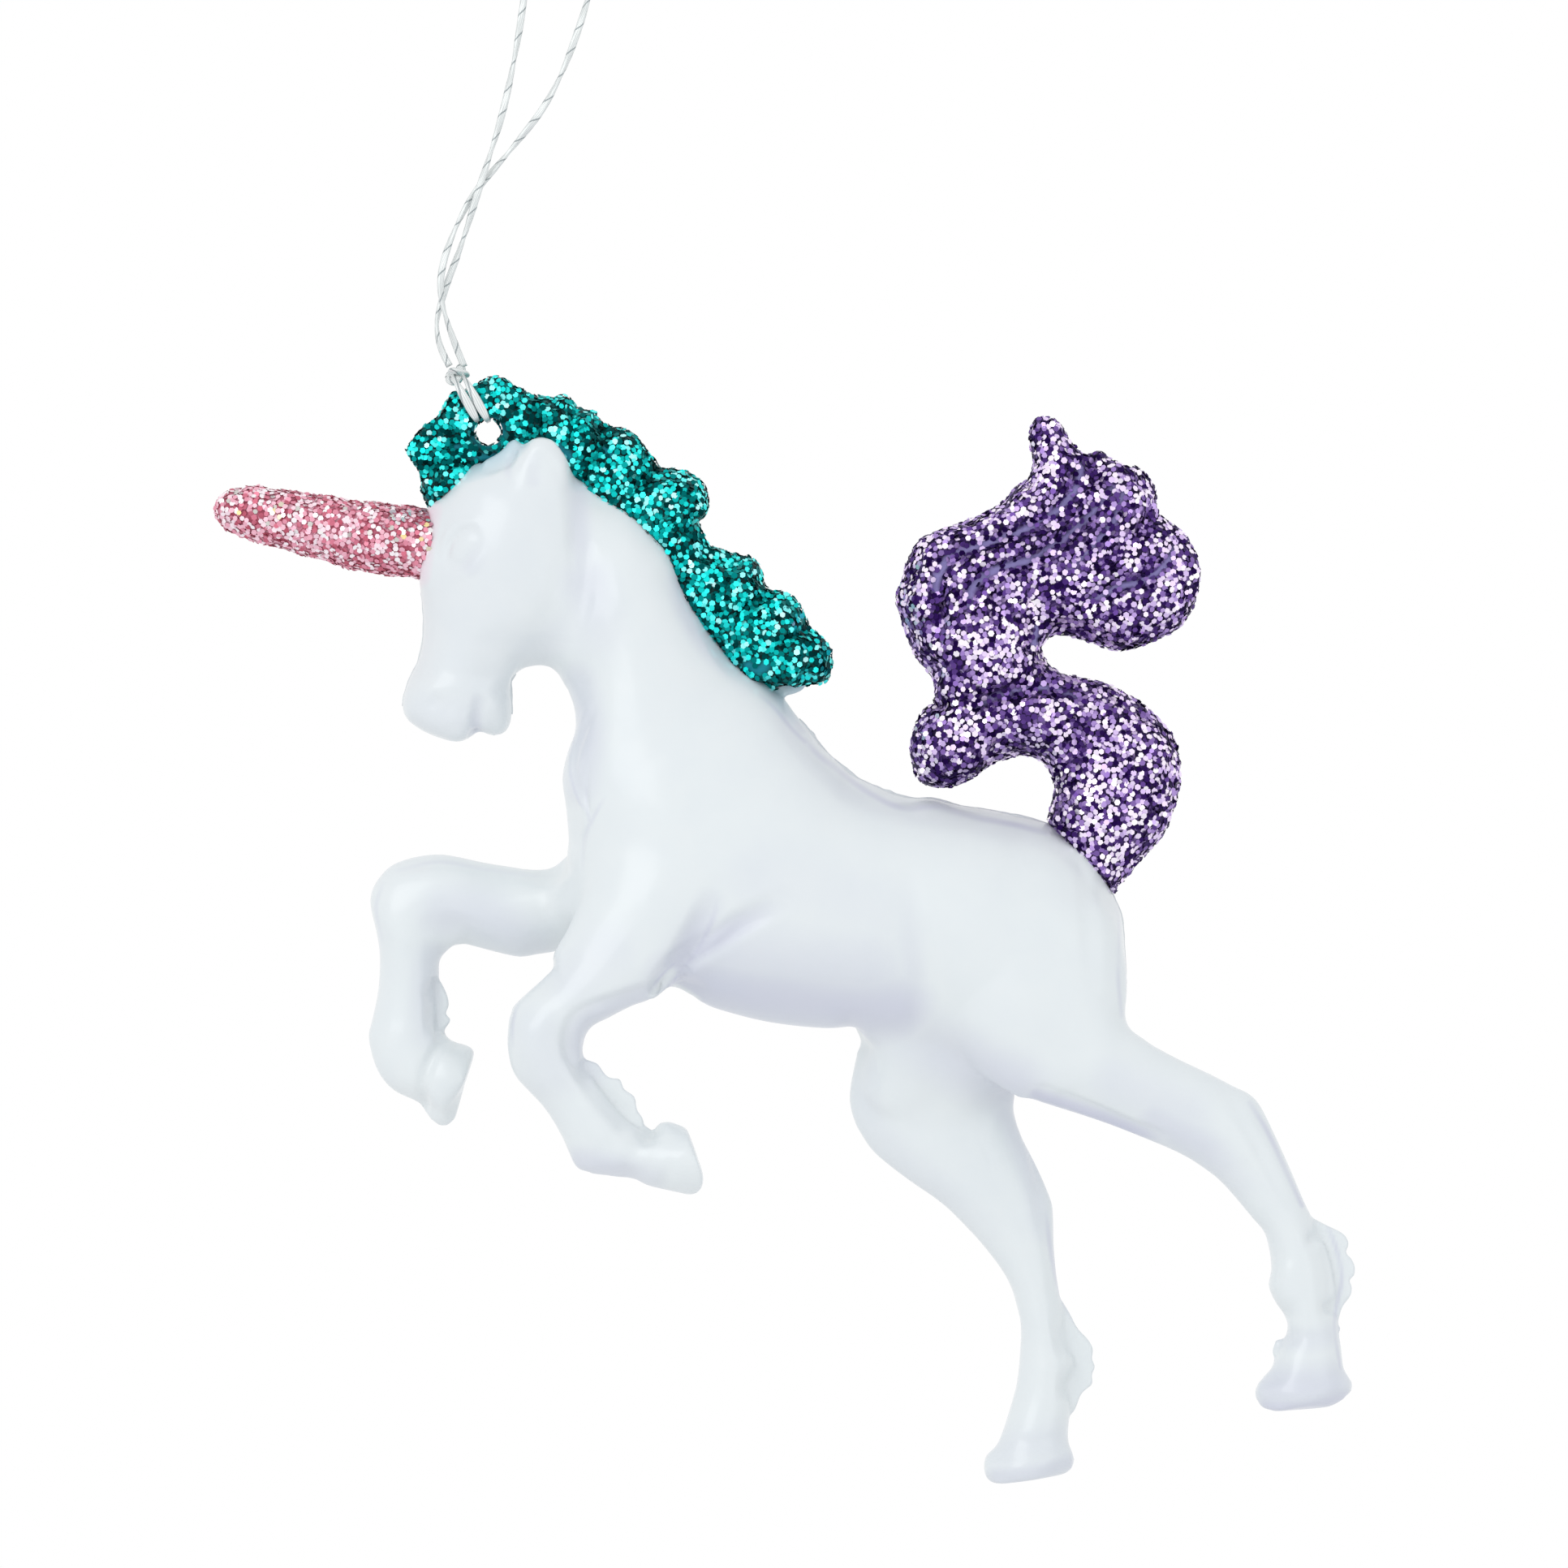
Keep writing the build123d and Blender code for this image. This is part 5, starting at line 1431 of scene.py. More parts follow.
@dataclass(frozen=True)
class FlakeCoat:
    """A coat of hexagonal flakes sprinkled over a piece.

    Args:
        width: a flake's width between its flats.
        spacing: the least distance between flakes.
        sink: how deep a flake's root sinks.
        rest: how far flakes stand off the ground at least.
        lift: how much further some of them stand off.
        tilt, tilt_spread: how far flakes lean, in degrees, and the share by which that varies.
        least_size, size_spread: the smallest flake's share of the width, and how much more others have.
        tries: places tried to each square of the spacing.
        furrow_shade, rim_shade, underside_shade: how much shade is painted into the flakes' tones in furrows, at the
            rim and underneath.
        seed: the seed of the sprinkling.
    """

    width: float = 0.51 * MM
    spacing: float = 0.34 * MM
    sink: float = 0.14 * MM
    rest: float = 0.06 * MM
    lift: float = 0.14 * MM
    tilt: float = 20.0
    tilt_spread: float = 0.6
    least_size: float = 0.86
    size_spread: float = 0.24
    tries: float = 3.2
    furrow_shade: float = 0.5
    rim_shade: float = 0.22
    underside_shade: float = 0.2
    seed: int = 1

    def spots(self, ground: Object, rng: np.random.Generator) -> tuple[np.ndarray, np.ndarray]:
        """Choose where flakes lie, evenly spread and never closer than the spacing.

        Args:
            ground: the piece under the flakes.
            rng: the source of chance.

        Returns:
            The flakes' places and the skin's normals there.
        """
        mesh = ground.data
        mesh.calc_loop_triangles()
        corners = np.empty(len(mesh.loop_triangles) * 3, np.int32)
        mesh.loop_triangles.foreach_get("vertices", corners)
        corners = corners.reshape(-1, 3)
        places, normals = read_points(mesh)
        a, b, c = (places[corners[:, column]] for column in range(3))
        area = np.linalg.norm(np.cross(b - a, c - a), axis=1) * 0.5
        count = int(area.sum() / self.spacing**2 * self.tries)
        chosen = rng.choice(len(area), count, p=area / area.sum())
        u, v = rng.random(count), rng.random(count)
        over = u + v > 1.0
        u[over], v[over] = 1.0 - u[over], 1.0 - v[over]
        weights = np.column_stack((1.0 - u - v, u, v))
        tried = (places[corners[chosen]] * weights[:, :, None]).sum(1)
        facing = unit((normals[corners[chosen]] * weights[:, :, None]).sum(1))
        cells: dict[tuple[int, int, int], list[list[float]]] = {}
        kept: list[int] = []
        keys = np.floor(tried / self.spacing).astype(int)
        steps = list(itertools.product((-1, 0, 1), repeat=3))
        limit = self.spacing**2
        rows = tried.tolist()
        for index, key in enumerate(map(tuple, keys.tolist())):
            x, y, z = rows[index]
            near = (other for i, j, k in steps for other in cells.get((key[0] + i, key[1] + j, key[2] + k), ()))
            if all((ox - x) ** 2 + (oy - y) ** 2 + (oz - z) ** 2 >= limit for ox, oy, oz in near):
                cells.setdefault(key, []).append(rows[index])
                kept.append(index)
        return tried[kept], facing[kept]

    def sprinkle(
        self, ground: Object, name: str, bare: tuple[Stroke, ...], shaded: tuple[Stroke, ...]
    ) -> Object:
        """Sprinkle flakes over a piece as one mesh.

        Args:
            ground: the piece under the flakes.
            name: the coat's name.
            bare: strokes along which few flakes stuck, with each lift as the share that is missing.
            shaded: furrows in which shade is painted into the flakes' tones.

        Returns:
            The coat.
        """
        rng = np.random.default_rng(self.seed)
        places, normals = self.spots(ground, rng)
        missing = strongest(bare, places, normals)
        keep = rng.random(len(places)) >= missing
        places, normals = places[keep], normals[keep]
        count = len(places)
        lean = unit(normals + np.tan(np.radians(self.tilt)) * rng.normal(size=(count, 3)) * self.tilt_spread)
        side = unit(np.cross(lean, rng.normal(size=(count, 3))))
        other = np.cross(lean, side)
        centre = places + normals * (self.rest + rng.random(count) * self.lift)[:, None]
        size = self.width / math.sqrt(3.0) * (self.least_size + self.size_spread * rng.random(count))
        turn = np.radians(np.arange(6) * 60.0)
        rim = (
            centre[:, None, :]
            + size[:, None, None]
            * (np.cos(turn)[None, :, None] * side[:, None, :] + np.sin(turn)[None, :, None] * other[:, None, :])
        )
        root = centre - lean * self.sink
        verts = np.concatenate((rim, root[:, None, :]), axis=1).reshape(-1, 3)
        hexagon = [tuple(range(6)), *(((corner + 1) % 6, corner, 6) for corner in range(6))]
        faces = [tuple(7 * flake + corner for corner in face) for flake in range(count) for face in hexagon]
        piece = built(name, verts.tolist(), faces)
        # Shade is painted into the flakes' tones: darker in the furrows, towards the rim and underneath.
        depth = np.zeros(count)
        for stroke in shaded:
            depth = np.maximum(depth, stroke.weights(places, normals))
        rim, under = 1.0 - np.abs(normals[:, 1]), held(-normals[:, 2])
        tone = rng.random(count) * (1.0 - self.furrow_shade * depth)
        tone = tone * (1.0 - self.rim_shade * rim**2) * (1.0 - self.underside_shade * under)
        write_values(piece, "tone", np.repeat(tone, 7))
        return piece


@dataclass
class GlitterPiece:
    """A moulded piece with a ground of glue and a coat of flakes.

    Args:
        name: the piece's name.
        node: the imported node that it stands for.
        slot: the material slot of its finish.
        glitter: its colour of glitter.
        coat: its coat of flakes.
        lobes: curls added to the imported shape.
        furrows: strokes worked into it.
        bare: strokes that few flakes cover.
        outline: the outline that its glitter fills, clockwise.
        inset: squares that its ground stays inside that.
        voxel: size of the skin's squares.
        softening, last_softening: passes of smoothing before and after the furrows are worked in.
    """

    name: str
    node: str
    slot: str
    glitter: Glitter
    coat: FlakeCoat
    lobes: tuple[Lobe, ...] = ()
    furrows: tuple[Stroke, ...] = ()
    bare: tuple[Stroke, ...] = ()
    outline: Path = ()
    inset: float = 0.22
    voxel: float = 0.28 * MM
    softening: int = 6
    last_softening: int = 2

    def shape(self) -> Object:
        """Build the ground."""
        ground = node_copy(f"{self.name}_ground", self.node)
        ground = joined([ground, *(lobe.build() for lobe in self.lobes)], f"{self.name}_ground")
        moulded(ground, self.voxel, self.softening)
        fit_outline(ground, self.outline, closed=False, inset=self.inset)
        sculpt(ground, self.furrows)
        smoothed(ground, self.last_softening)
        return ground

    def build(self, group: NodeTree) -> None:
        """Build, finish and settle the ground and its flakes.

        Args:
            group: the glitter ground group.
        """
        ground = self.shape()
        write_values(ground, "bare", held(strongest(self.bare, *read_points(ground.data)) * BARE_GAIN))
        ground.data.materials.append(self.glitter.build_ground(group))
        shade_smooth(ground)
        flakes = self.coat.sprinkle(ground, f"{self.name}_flakes", self.bare, self.furrows)
        flakes.data.materials.append(self.glitter.build_flakes())
        settle(ground, "figurine", self.slot, self.node)
        settle(flakes, "figurine", self.slot)


@dataclass
class Horn(GlitterPiece):
    """The horn, with low ridges that wind round it.

    Args:
        root: the root on its axis.
        tip: the tip on its axis.
        ridge: how high the ridges are.
        pitch: how far apart the ridges are along it.
    """

    root: Point = (54.6, 67.4)
    tip: Point = (26.4, 63.2)
    ridge: float = 0.16 * MM
    pitch: float = 5.2 * 0.75 * MM

    def shape(self) -> Object:
        """Build the ground, with its winding ridges."""
        ground = super().shape()
        places, normals = read_points(ground.data)
        start, end = SHEET.place(*self.root), SHEET.place(*self.tip)
        way = np.array((end - start).normalized())
        rise = np.cross((0.0, 1.0, 0.0), way)
        apart = places - np.array(start)
        along = apart @ way
        angle = np.arctan2(apart @ rise, apart[:, 1])
        outward = held(1.0 - np.abs(normals @ way) * 1.4)
        wave = np.cos(2 * math.pi * along / self.pitch + angle) * self.ridge * 0.5
        write_points(ground.data, places + normals * (wave * outward)[:, None])
        return ground


MANE_LOBES = (
    Lobe((53, 55.6), 2.4, 0.75), Lobe((53.6, 59.4), 2.2, 0.8), Lobe((55.6, 51.8), 2.1, 0.7),
    Lobe((57, 49.6), 1.6, 0.8), Lobe((60.9, 48.6), 2.1, 0.72), Lobe((64.2, 50.4), 2.5, 0.8),
    Lobe((56.8, 56.8), 2.1, 0.9), Lobe((69, 51.8), 3.1, 0.95), Lobe((66, 52.4), 2.2, 0.9),
    Lobe((72.8, 53.6), 2.9, 0.95), Lobe((77, 56.6), 3.7, 0.95), Lobe((71, 57), 2.6, 1.1),
    Lobe((75.4, 59.2), 2.6, 1.25), Lobe((83.6, 61.6), 4, 0.95), Lobe((80.4, 61.6), 2.8, 1.25),
    Lobe((84, 66.6), 2.6, 1.3), Lobe((71.4, 58.8), 2.6, 1.3), Lobe((88.6, 70.4), 3.2, 1.05),
    Lobe((91.8, 71.6), 3, 0.95), Lobe((86, 70.4), 2.4, 1.3), Lobe((89.4, 75.4), 2.8, 1.3),
    Lobe((96.4, 76.2), 3.5, 0.95), Lobe((92.8, 78.4), 2.9, 1.25), Lobe((99.4, 81.6), 3.5, 0.95),
    Lobe((95.4, 82.2), 2.8, 1.2),
)
MANE_FURROWS = strokes(
    (-0.55, 1.2, ((51.8, 57.8, 0.6), (55, 57), (58.6, 57, 0.3))),
    (-0.4, 1, ((53.8, 52.4), (56, 53.8), (57.6, 55.2, 0.3))),
    (-0.6, 1.2, ((65.9, 49.4), (66.2, 52), (64.8, 54.6, 0.5))),
    (-0.55, 1.2, ((70.8, 50.8, 0.6), (70.4, 53.6), (68.8, 55.4, 0.3))),
    (-0.65, 1.3, ((74.4, 52.6), (74, 55.8), (71.6, 58.6), (71.4, 60.4, 0.3))),
    (-0.65, 1.3, ((81.2, 57.6), (79.4, 59.4), (76.8, 61.4, 0.4))),
    (-0.7, 1.3, ((86, 66.2), (83.6, 65.2), (81.2, 64.6, 0.3))),
    (-0.4, 1, ((90.4, 68.8, 0.4), (89.6, 71.6), (88, 74, 0.3))),
    (-0.7, 1.3, ((94.6, 73.2), (92.6, 74.8), (89.6, 77.4, 0.3))),
    (-0.6, 1.2, ((99.6, 77.4), (97, 79), (93.6, 81.2, 0.3))),
)
MANE_BARE = (
    *strokes(
        (2.2, 2.6, ((60.2, 53.2),)),
        side=Side.ALL,
    ),
    *strokes(
        (0.9, 0.8, ((69, 55.2), (70.2, 56.4))),
        (0.9, 0.9, ((92.2, 82), (93.6, 82.6), (94.4, 82))),
        (0.8, 0.6, ((74.6, 55.4), (75.4, 56.2))),
        (0.7, 0.7, ((56, 55), (58.6, 56.2), (61, 56.4))),
        (0.6, 0.6, ((98.6, 77.4), (99.4, 78.2))),
    ),
)
TAIL_LOBES = (
    Lobe((136, 58.2), 2.3, 0.9), Lobe((140, 60), 2.8, 0.9), Lobe((143.4, 67.6), 3.4, 0.9),
    Lobe((115.4, 92.4), 2.9, 0.95),
)
TAIL_GROOVES: tuple[Path, ...] = (
    (
        (115.4, 72.4, 0.6), (116.2, 69.4), (118.6, 68), (122, 66.8), (125.6, 65.6), (129.4, 63.6), (132.4, 60.4),
        (133.2, 57.2, 0.4),
    ),
    (
        (119.2, 74.8, 0.7), (119.8, 72.4), (121.6, 70.8), (124.2, 69.8), (127, 69), (131, 66.4), (134.4, 63.4),
        (137, 60.2, 0.5),
    ),
    ((131.6, 70.2, 0.4), (134.4, 67.4), (137.2, 64.2), (138.4, 60.4, 0.5)),
    ((133.4, 70.6, 0.3), (136, 69.2), (139.4, 67.6, 0.4)),
    ((133.6, 74.4, 0.4), (137.2, 72.6), (140.6, 71.6), (143.4, 69.8), (144.6, 67.6, 0.4)),
    ((115.6, 78.6, 0.3), (115.4, 75.6), (115.2, 72.6, 0.7)),
    ((123.4, 76.6, 0.2), (123, 74), (124, 71.8, 0.6)),
    ((119.6, 87.4, 0.3), (122.6, 85.8), (125.8, 85), (129.4, 84.8), (134, 86.4, 0.4)),
    ((132.2, 94.2, 0.2), (132.6, 91), (131.6, 89, 0.5)),
    ((138.6, 99.4, 0.2), (138.6, 94, 0.6), (136.4, 89, 0.3)),
)
TAIL_FURROWS = strokes(
    *((-0.95, 1.75, groove) for groove in TAIL_GROOVES),
    (-0.9, 1.6, ((134.6, 56.6), (134.6, 60), (133, 63, 0.3))),
    (-0.8, 1.5, ((142.2, 63.4), (140.4, 65.6), (137.6, 67.6, 0.3))),
)
TAIL_BARE = strokes(
    (0.95, 0.62, TAIL_GROOVES[0]),
    (1, 0.8, ((115.2, 72.8), (115.5, 71), (116.6, 69.2))),
    (1, 0.72, TAIL_GROOVES[1][:5]),
    (0.7, 0.6, TAIL_GROOVES[1][4:]),
    (0.9, 0.6, TAIL_GROOVES[2]),
    (0.9, 0.6, TAIL_GROOVES[4]),
    (0.6, 0.5, TAIL_GROOVES[7]),
    (0.9, 0.8, ((127.4, 79.6), (127.6, 77.4))),
)


# Cord


def drawn_line(points: list[Vector], cyclic: bool = False) -> list[Vector]:
    """Read the smooth line that a NURBS spline draws through its control points.

    Args:
        points: the control points.
        cyclic: whether the line closes on itself.

    Returns:
        The points of the line.
    """
    curve = bpy.data.curves.new("line", "CURVE")
    curve.dimensions = "3D"
    curve.resolution_u = 20
    spline = curve.splines.new("NURBS")
    spline.points.add(len(points) - 1)
    for target, point in zip(spline.points, points):
        target.co = (*point, 1.0)
    spline.order_u = 3
    spline.use_cyclic_u = cyclic
    spline.use_endpoint_u = not cyclic
    carrier = bpy.data.objects.new("line", curve)
    mesh = bpy.data.meshes.new_from_object(carrier)
    made = [vertex.co.copy() for vertex in mesh.vertices]
    bpy.data.objects.remove(carrier)
    bpy.data.curves.remove(curve)
    bpy.data.meshes.remove(mesh)
    return made


@dataclass(frozen=True)
class FlatCord:
    """The cord's make: a flat braid that turns slowly about itself.

    Args:
        width: its width.
        thickness: its thickness.
        twist: how far along one whole turn takes.
        sides: points round the braid.
        pinch: how much its edges are drawn in.
        stretch: how far its yarns are drawn out along it, below one, or not.
    """

    width: float = 0.65 * MM
    thickness: float = 0.5 * MM
    twist: float = 17.0 * MM
    sides: int = 14
    pinch: float = 0.28
    stretch: float = 1.0

    def build(
        self, name: str, line: list[Vector], face: Vector, cyclic: bool = False, swell: tuple[float, ...] = ()
    ) -> Object:
        """Lay the braid along a line.

        Args:
            name: the piece's name.
            line: the points it follows.
            face: the way its flat faces at the start.
            cyclic: whether it closes on itself.
            swell: the share of its width at each point, if that varies.

        Returns:
            The braid as a closed tube with its own map.
        """
        count = len(line)
        flat = face
        travelled = 0.0
        verts: list[Vector] = []
        reach: list[float] = []
        for index, point in enumerate(line):
            after = line[(index + 1) % count] if cyclic or index + 1 < count else point
            before = line[index - 1] if cyclic or index else point
            way = (after - before).normalized()
            flat = (flat - way * flat.dot(way)).normalized()
            travelled += (point - before).length if index else 0.0
            turned = 2 * math.pi * travelled / self.twist if self.twist else 0.0
            across = way.cross(flat)
            wide = across * math.cos(turned) + flat * math.sin(turned)
            thick = flat * math.cos(turned) - across * math.sin(turned)
            reach.append(travelled)
            for side in range(self.sides):
                angle = 2 * math.pi * side / self.sides
                pinch = 1.0 - self.pinch * math.cos(angle * 2 + math.pi) - self.pinch
                verts.append(
                    point
                    + wide * (self.width / 2 * math.cos(angle) * (swell[index] if swell else 1.0))
                    + thick * (self.thickness / 2 * math.sin(angle) * (pinch + self.pinch))
                )
        faces: list[tuple[int, ...]] = []
        maps: list[tuple[float, float]] = []
        rings = count if cyclic else count - 1
        for ring in range(rings):
            following = (ring + 1) % count
            far_reach = reach[following] if following else reach[ring] + (line[0] - line[-1]).length
            start, end = reach[ring] * self.stretch, far_reach * self.stretch
            here, there = ring * self.sides, following * self.sides
            for side in range(self.sides):
                beside = (side + 1) % self.sides
                faces.append((here + side, here + beside, there + beside, there + side))
                low, high = side / self.sides, (side + 1) / self.sides
                maps += [(low, start), (high, start), (high, end), (low, end)]
        if not cyclic:
            last = (count - 1) * self.sides
            faces.append(tuple(range(self.sides - 1, -1, -1)))
            faces.append(tuple(range(last, last + self.sides)))
            maps += [(0.0, 0.0)] * self.sides + [(0.0, reach[-1])] * self.sides
        piece = built(name, verts, faces)
        layer = piece.data.uv_layers.new(name="lay")
        layer.data.foreach_set("uv", np.array(maps, np.float32).ravel())
        return close_up(piece)


@dataclass
class HangingCord:
    """The cord: its free loop, the hitch through the hanging eye, and the knot that joins its ends.

    Args:
        side_gap: how far the strands cross beside the middle plane.
        route: the free loop's route, with the side that it keeps to in side gaps.
        eye: the hanging eye's middle.
        knot: the hitch knot's middle.
        length: the free loop's real length; not used.
        leg: the place in the route of the leg that the joining knot sits on.
        bights: how far each bight lies beside the eye's middle, and how much higher.
        knot_bends: a bight's bends by how far they lie below the knot and beside, in millimetres.
        eye_bends: its lower bends by how far they lie above the eye's middle and beside, in millimetres.
        leaf_least, leaf_more: its least share of the width, and how much wider it is half way up.
        leaf_foot, leaf_trim: where it begins to widen, and how much of its height that leaves out.
        knot_steps: control points round a knot.
        knot_swing: how far its turns swing in and out.
        knot_width, knot_height: its width and height as shares of its depth.
    """

    side_gap: float = 0.45 * MM
    route: Path = (
        (55.4, 45.1, 0), (53.3, 41.6, 0.9), (54.6, 36, 1), (56.9, 30.2, 0.3), (59.3, 22.4, -1),
        (62.3, 13.2, -0.8), (64.7, 0, 0), (65.7, -13, 0), (65.6, -26, 0), (66.5, -35.6, 0),
        (69.2, -40, 0), (72.6, -40, 0), (75.3, -35.6, 0), (76.4, -26, 0), (75.6, -13, 0),
        (72.6, 0, 0), (68.4, 11.6, 0.6), (62.6, 18.9, 1), (58.2, 23.8, 0.9), (55.2, 30, -0.4),
        (54, 35.2, -1), (55.2, 40.4, -0.9), (57.2, 45.2, 0),
    )
    eye: Point = (60.2, 53.2)
    knot: Point = (56.4, 46.3)
    length: float = 137.0 * MM
    leg: int = 13
    bights: Path = ((-0.45 * MM, 0.0), (0.42 * MM, 0.45 * MM))
    knot_bends: Path = ((0.1, 0.35), (0.7, 1.5), (1.9, 2.06))
    eye_bends: Path = ((2.1, 2.12), (0.98, 1.9), (0.86, 1))
    leaf_least: float = 0.42
    leaf_more: float = 0.62
    leaf_foot: float = 0.7 * MM
    leaf_trim: float = 1.2 * MM
    knot_steps: int = 18
    knot_swing: float = 0.42
    knot_width: float = 0.95
    knot_height: float = 0.78

    def build(self, finish: Material) -> None:
        """Args:
            finish: the cord's material.
        """
        make = FlatCord()
        points = [SHEET.place(across, down, side * self.side_gap) for across, down, side in self.route]
        line = drawn_line(points)
        loop = make.build("cord_loop_braid", line, Vector((0.0, -1.0, 0.0)))
        hitch = self.build_hitch()
        join = self.build_join(points)
        for piece, body, node in (
            (loop, "hanging_cord", "cord_loop"), (hitch, "hitch", "cord_hitch"), (join, "hanging_cord", "loop_knot")
        ):
            piece.data.materials.append(finish)
            settle(piece, body, "silver_cord", node)

    def build_hitch(self) -> Object:
        """Build the hitch: two bights through the eye and the knot over them."""
        eye, knot = SHEET.place(*self.eye), SHEET.place(*self.knot)
        up = (knot - eye).normalized()
        reach = (knot - eye).length
        beside = up.cross(SPREAD)
        down = (
            *((reach - drop * MM, -y * MM) for drop, y in self.knot_bends),
            *((rise * MM, -y * MM) for rise, y in self.eye_bends),
        )
        bight = (*down, *((along, -y) for along, y in reversed(down)))
        strands = []
        make = FlatCord(width=0.84 * MM, thickness=0.3 * MM, twist=0.0, stretch=0.25)
        for side, lead in self.bights:
            points = [eye + up * (along + lead) + SPREAD * y + beside * side for along, y in bight]
            line = drawn_line(points)
            rises = [(point - eye).dot(up) - lead - self.leaf_foot for point in line]
            heights = [min(max(rise / (reach - self.leaf_trim), 0.0), 1.0) for rise in rises]
            leaf = tuple(self.leaf_least + self.leaf_more * math.sin(math.pi * height**0.8) for height in heights)
            strands.append(make.build("strand", line, -SPREAD, swell=leaf))
        tied = FlatCord(width=0.7 * MM, thickness=0.52 * MM, twist=0.0)
        strands.append(self.knotted(knot + up * 0.1 * MM, up, 0.72 * MM, tied))
        return joined(strands, "cord_hitch_braid")

    def knotted(self, middle: Vector, way: Vector, size: float, make: FlatCord) -> Object:
        """Tie a small round knot about a line.

        Args:
            middle: the knot's middle.
            way: the way of the line it is tied about.
            size: radius of its turns.
            make: the cord it is tied of.

        Returns:
            The knot.
        """
        across = way.cross(SPREAD).normalized()
        points = []
        for step in range(self.knot_steps):
            t = 2 * math.pi * step / self.knot_steps
            swing = 1.0 + self.knot_swing * math.cos(3 * t)
            points.append(
                middle
                + across * (size * swing * math.cos(2 * t) * self.knot_width)
                + SPREAD * (size * swing * math.sin(2 * t))
                + way * (size * self.knot_height * math.sin(3 * t))
            )
        return make.build("strand", drawn_line(points, True), way, True)

    def build_join(self, points: list[Vector]) -> Object:
        """Build the knot that joins the cord's ends, with the two ends standing out of it.

        Args:
            points: the route's points.

        Returns:
            The knot.
        """
        start, end = points[self.leg], points[self.leg + 1]
        way = (end - start).normalized()
        middle = (start + end) / 2
        make = FlatCord(width=0.6 * MM, thickness=0.34 * MM, twist=0.0)
        tied = [self.knotted(middle, way, 0.58 * MM, make)]
        for side in (-1.0, 1.0):
            ends = [
                middle + SPREAD * (out * MM * side) + way * (along * MM)
                for out, along in ((0.2, 0.0), (0.6, 0.9), (1.0, 1.7), (1.25, 2.7))
            ]
            tied.append(make.build("strand", drawn_line(ends), Vector((1.0, 0.0, 0.0))))
        return joined(tied, "cord_end_knot")


# The studio


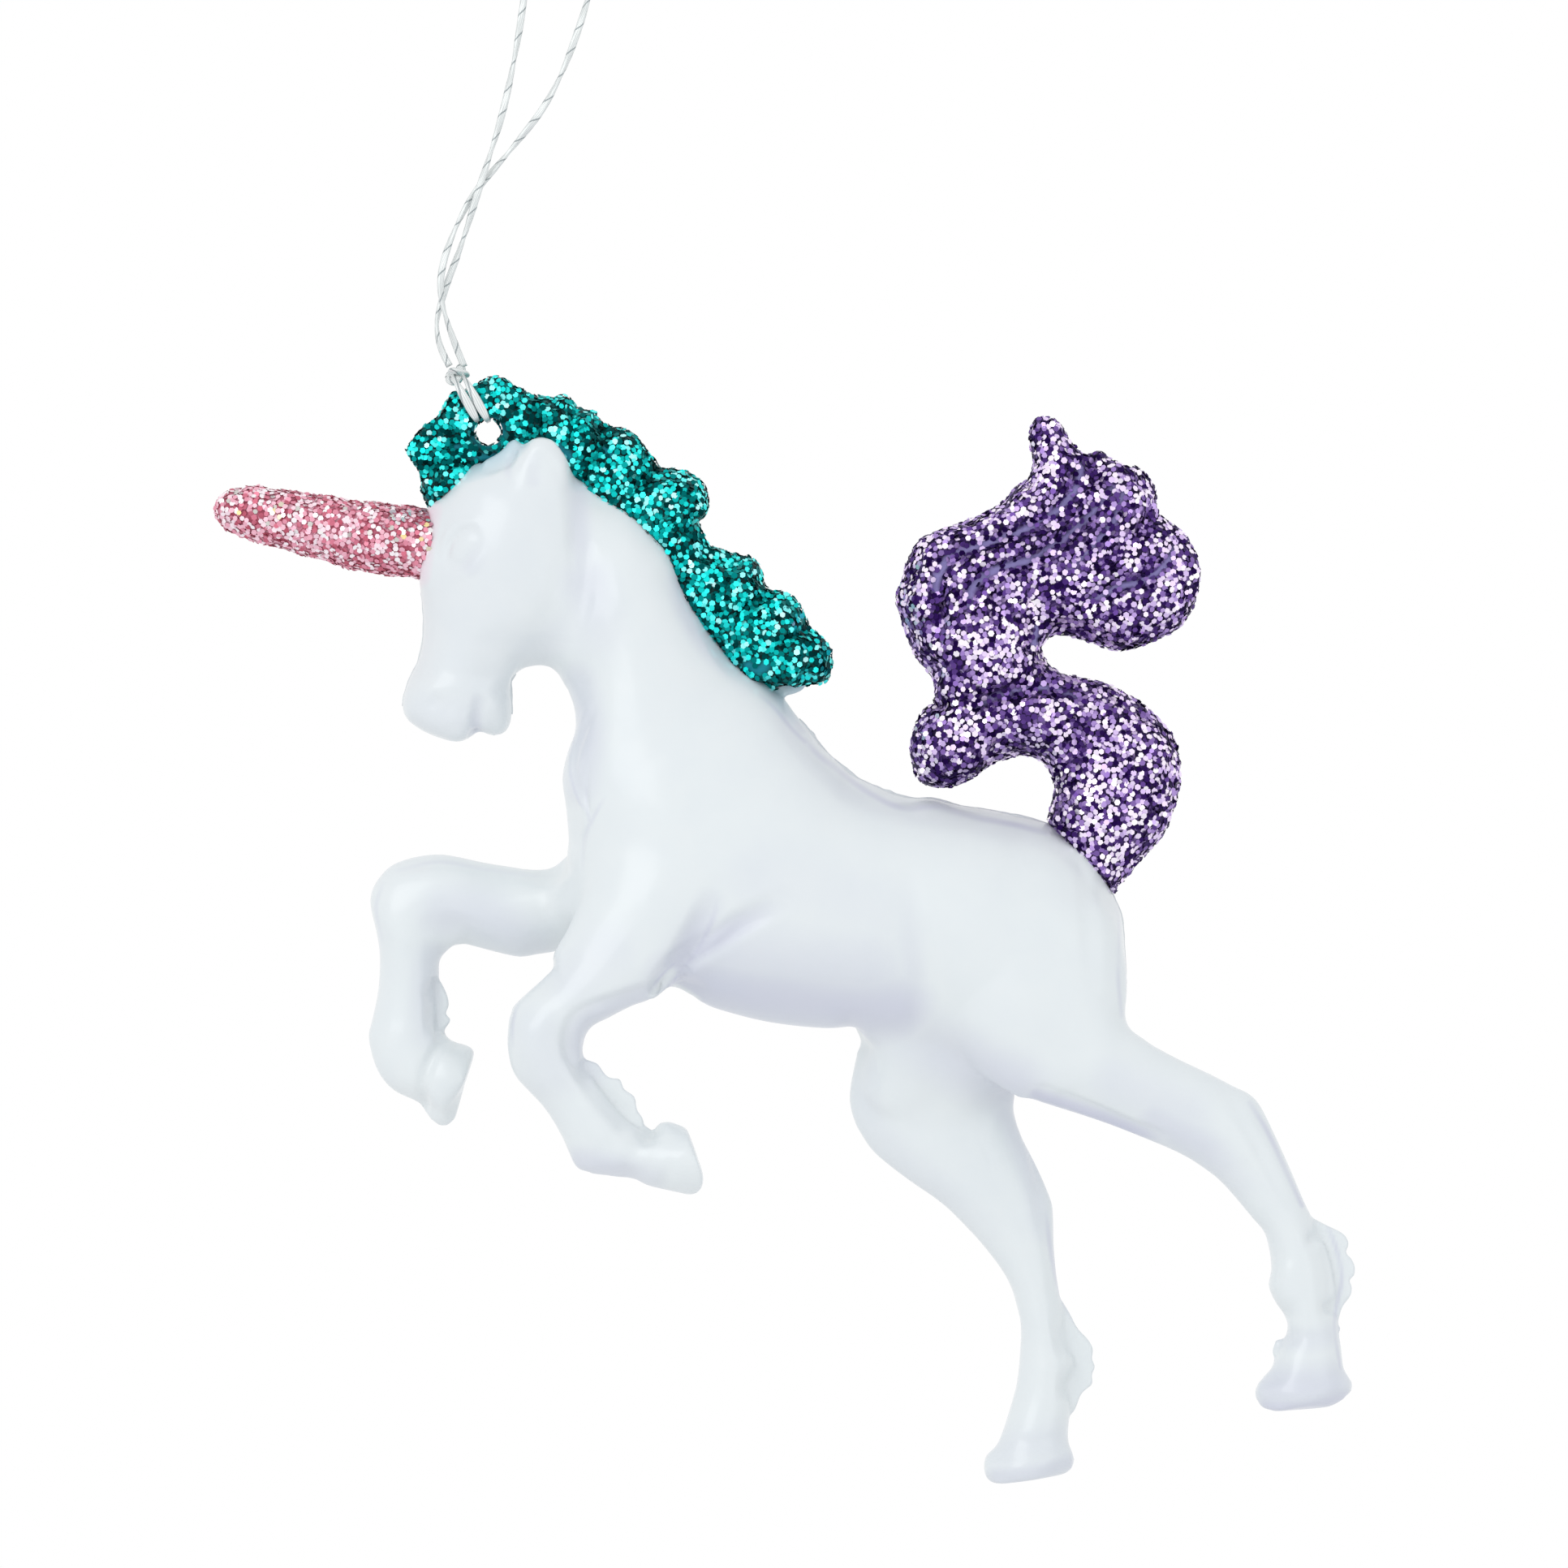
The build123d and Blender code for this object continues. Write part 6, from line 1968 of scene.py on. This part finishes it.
@dataclass
class Studio:
    """A white room with a pale floor far below, soft lamps and a long lens.

    Args:
        view_centre: the middle of the picture on the sheet.
        view_squares: how many squares the picture shows.
        distance: how far off the camera stands.
        floor_drop: how far below the origin the floor lies.
        room_level: strength of the light from all round.
        lamps: each lamp's name, energy, size, place from the aim and colour.
    """

    view_centre: Point = (96.6, 96.6)
    view_squares: float = 193.2
    distance: float = 1.2
    floor_drop: float = 0.235
    room_level: float = 0.86
    lamps: tuple[tuple, ...] = (
        ("key", 2.4, 0.7, (-0.55, -0.85, 0.45), (1.0, 0.995, 0.985)),
        ("fill", 0.7, 0.8, (0.75, -0.8, -0.05), (0.97, 0.985, 1.0)),
    )

    def build_camera(self) -> None:
        """Set up the camera."""
        data = bpy.data.cameras.new("camera")
        data.sensor_width = 36.0
        data.lens = data.sensor_width * self.distance / (self.view_squares * SHEET.square)
        data.clip_start, data.clip_end = 0.01, 20.0
        camera = placed("camera", data)
        camera.location = SHEET.place(*self.view_centre, -self.distance)
        camera.rotation_euler = (math.radians(90.0), 0.0, 0.0)
        bpy.context.scene.camera = camera

    def build_room(self) -> None:
        """Set up the white surroundings, the floor and the lamps."""
        scene = bpy.context.scene
        scene.view_settings.view_transform = "Standard"
        world = bpy.data.worlds.new("room")
        scene.world = world
        world.use_nodes = True
        nodes = Nodes(world.node_tree)
        back = world.node_tree.nodes["Background"]
        set_up(back, in_Color=(0.955, 0.97, 1.0, 1.0), in_Strength=self.room_level)
        white = nodes.add("ShaderNodeBackground", in_Color=(1.0, 1.0, 1.0, 1.0), in_Strength=1.0)
        rays = nodes.add("ShaderNodeLightPath")
        seen = nodes.sum("MAXIMUM", rays.outputs["Is Camera Ray"], rays.outputs["Is Glossy Ray"])
        seen = nodes.sum("MAXIMUM", seen, rays.outputs["Is Transmission Ray"])
        mix = nodes.add("ShaderNodeMixShader")
        nodes.join(seen, mix.inputs[0])
        nodes.join(back.outputs[0], mix.inputs[1])
        nodes.join(white.outputs[0], mix.inputs[2])
        nodes.join(mix.outputs[0], world.node_tree.nodes["World Output"].inputs["Surface"])
        self.build_floor()
        for name, energy, size, place, colour in self.lamps:
            data = bpy.data.lights.new(name, "AREA")
            data.energy, data.size, data.color = energy, size, colour
            lamp = placed(name, data)
            aim = SHEET.place(*self.view_centre)
            lamp.location = aim + Vector(place)
            lamp.rotation_euler = (aim - lamp.location).to_track_quat("-Z", "Y").to_euler()

    def build_floor(self) -> None:
        """Set up the pale round floor, which fades out at its rim."""
        bpy.ops.object.select_all(action="DESELECT")
        middle = (0.02, 0.0, -self.floor_drop)
        bpy.ops.mesh.primitive_circle_add(vertices=96, radius=0.5, fill_type="NGON", location=middle)
        floor = bpy.context.active_object
        floor.name = "floor"
        bpy.ops.object.transform_apply(location=True, rotation=True, scale=True)
        material, nodes, shader = new_material("pale floor")
        set_up(shader, in_Base_Color=(0.93, 0.93, 0.93, 1.0), in_Roughness=0.7)
        where = nodes.add("ShaderNodeTexCoord")
        length = nodes.add("ShaderNodeVectorMath", operation="DISTANCE", in_1=middle)
        nodes.join(where.outputs["Object"], length.inputs[0])
        fade = nodes.add("ShaderNodeMapRange", in_From_Min=0.2, in_From_Max=0.48, in_To_Min=1.0, in_To_Max=0.0)
        nodes.join(length.outputs["Value"], fade.inputs[0])
        nodes.join(fade.outputs[0], shader.inputs["Alpha"])
        floor.data.materials.append(material)


def main() -> None:
    """Build the camera, the cord, the figurine and the studio, in that order."""
    logging.basicConfig(level=logging.INFO, format="%(name)s: %(message)s")
    studio = Studio()
    studio.build_camera()
    HangingCord().build(SilverCord().build())
    ground = speckle_group()
    MouldedBody().build(MouldedPlastic().build(skin_group()))
    Horn(
        "horn", "horn", "rose_glitter", ROSE,
        FlakeCoat(seed=11, width=0.48 * MM, spacing=0.32 * MM), outline=HORN_OUTLINE
    ).build(ground)
    GlitterPiece(
        "mane", "mane", "teal_glitter", TEAL, FlakeCoat(seed=12), MANE_LOBES, MANE_FURROWS, MANE_BARE, MANE_OUTLINE
    ).build(ground)
    GlitterPiece(
        "tail", "tail", "violet_glitter", VIOLET, FlakeCoat(seed=13), TAIL_LOBES, TAIL_FURROWS, TAIL_BARE, TAIL_OUTLINE
    ).build(ground)
    studio.build_room()


if __name__ == "__main__":
    main()
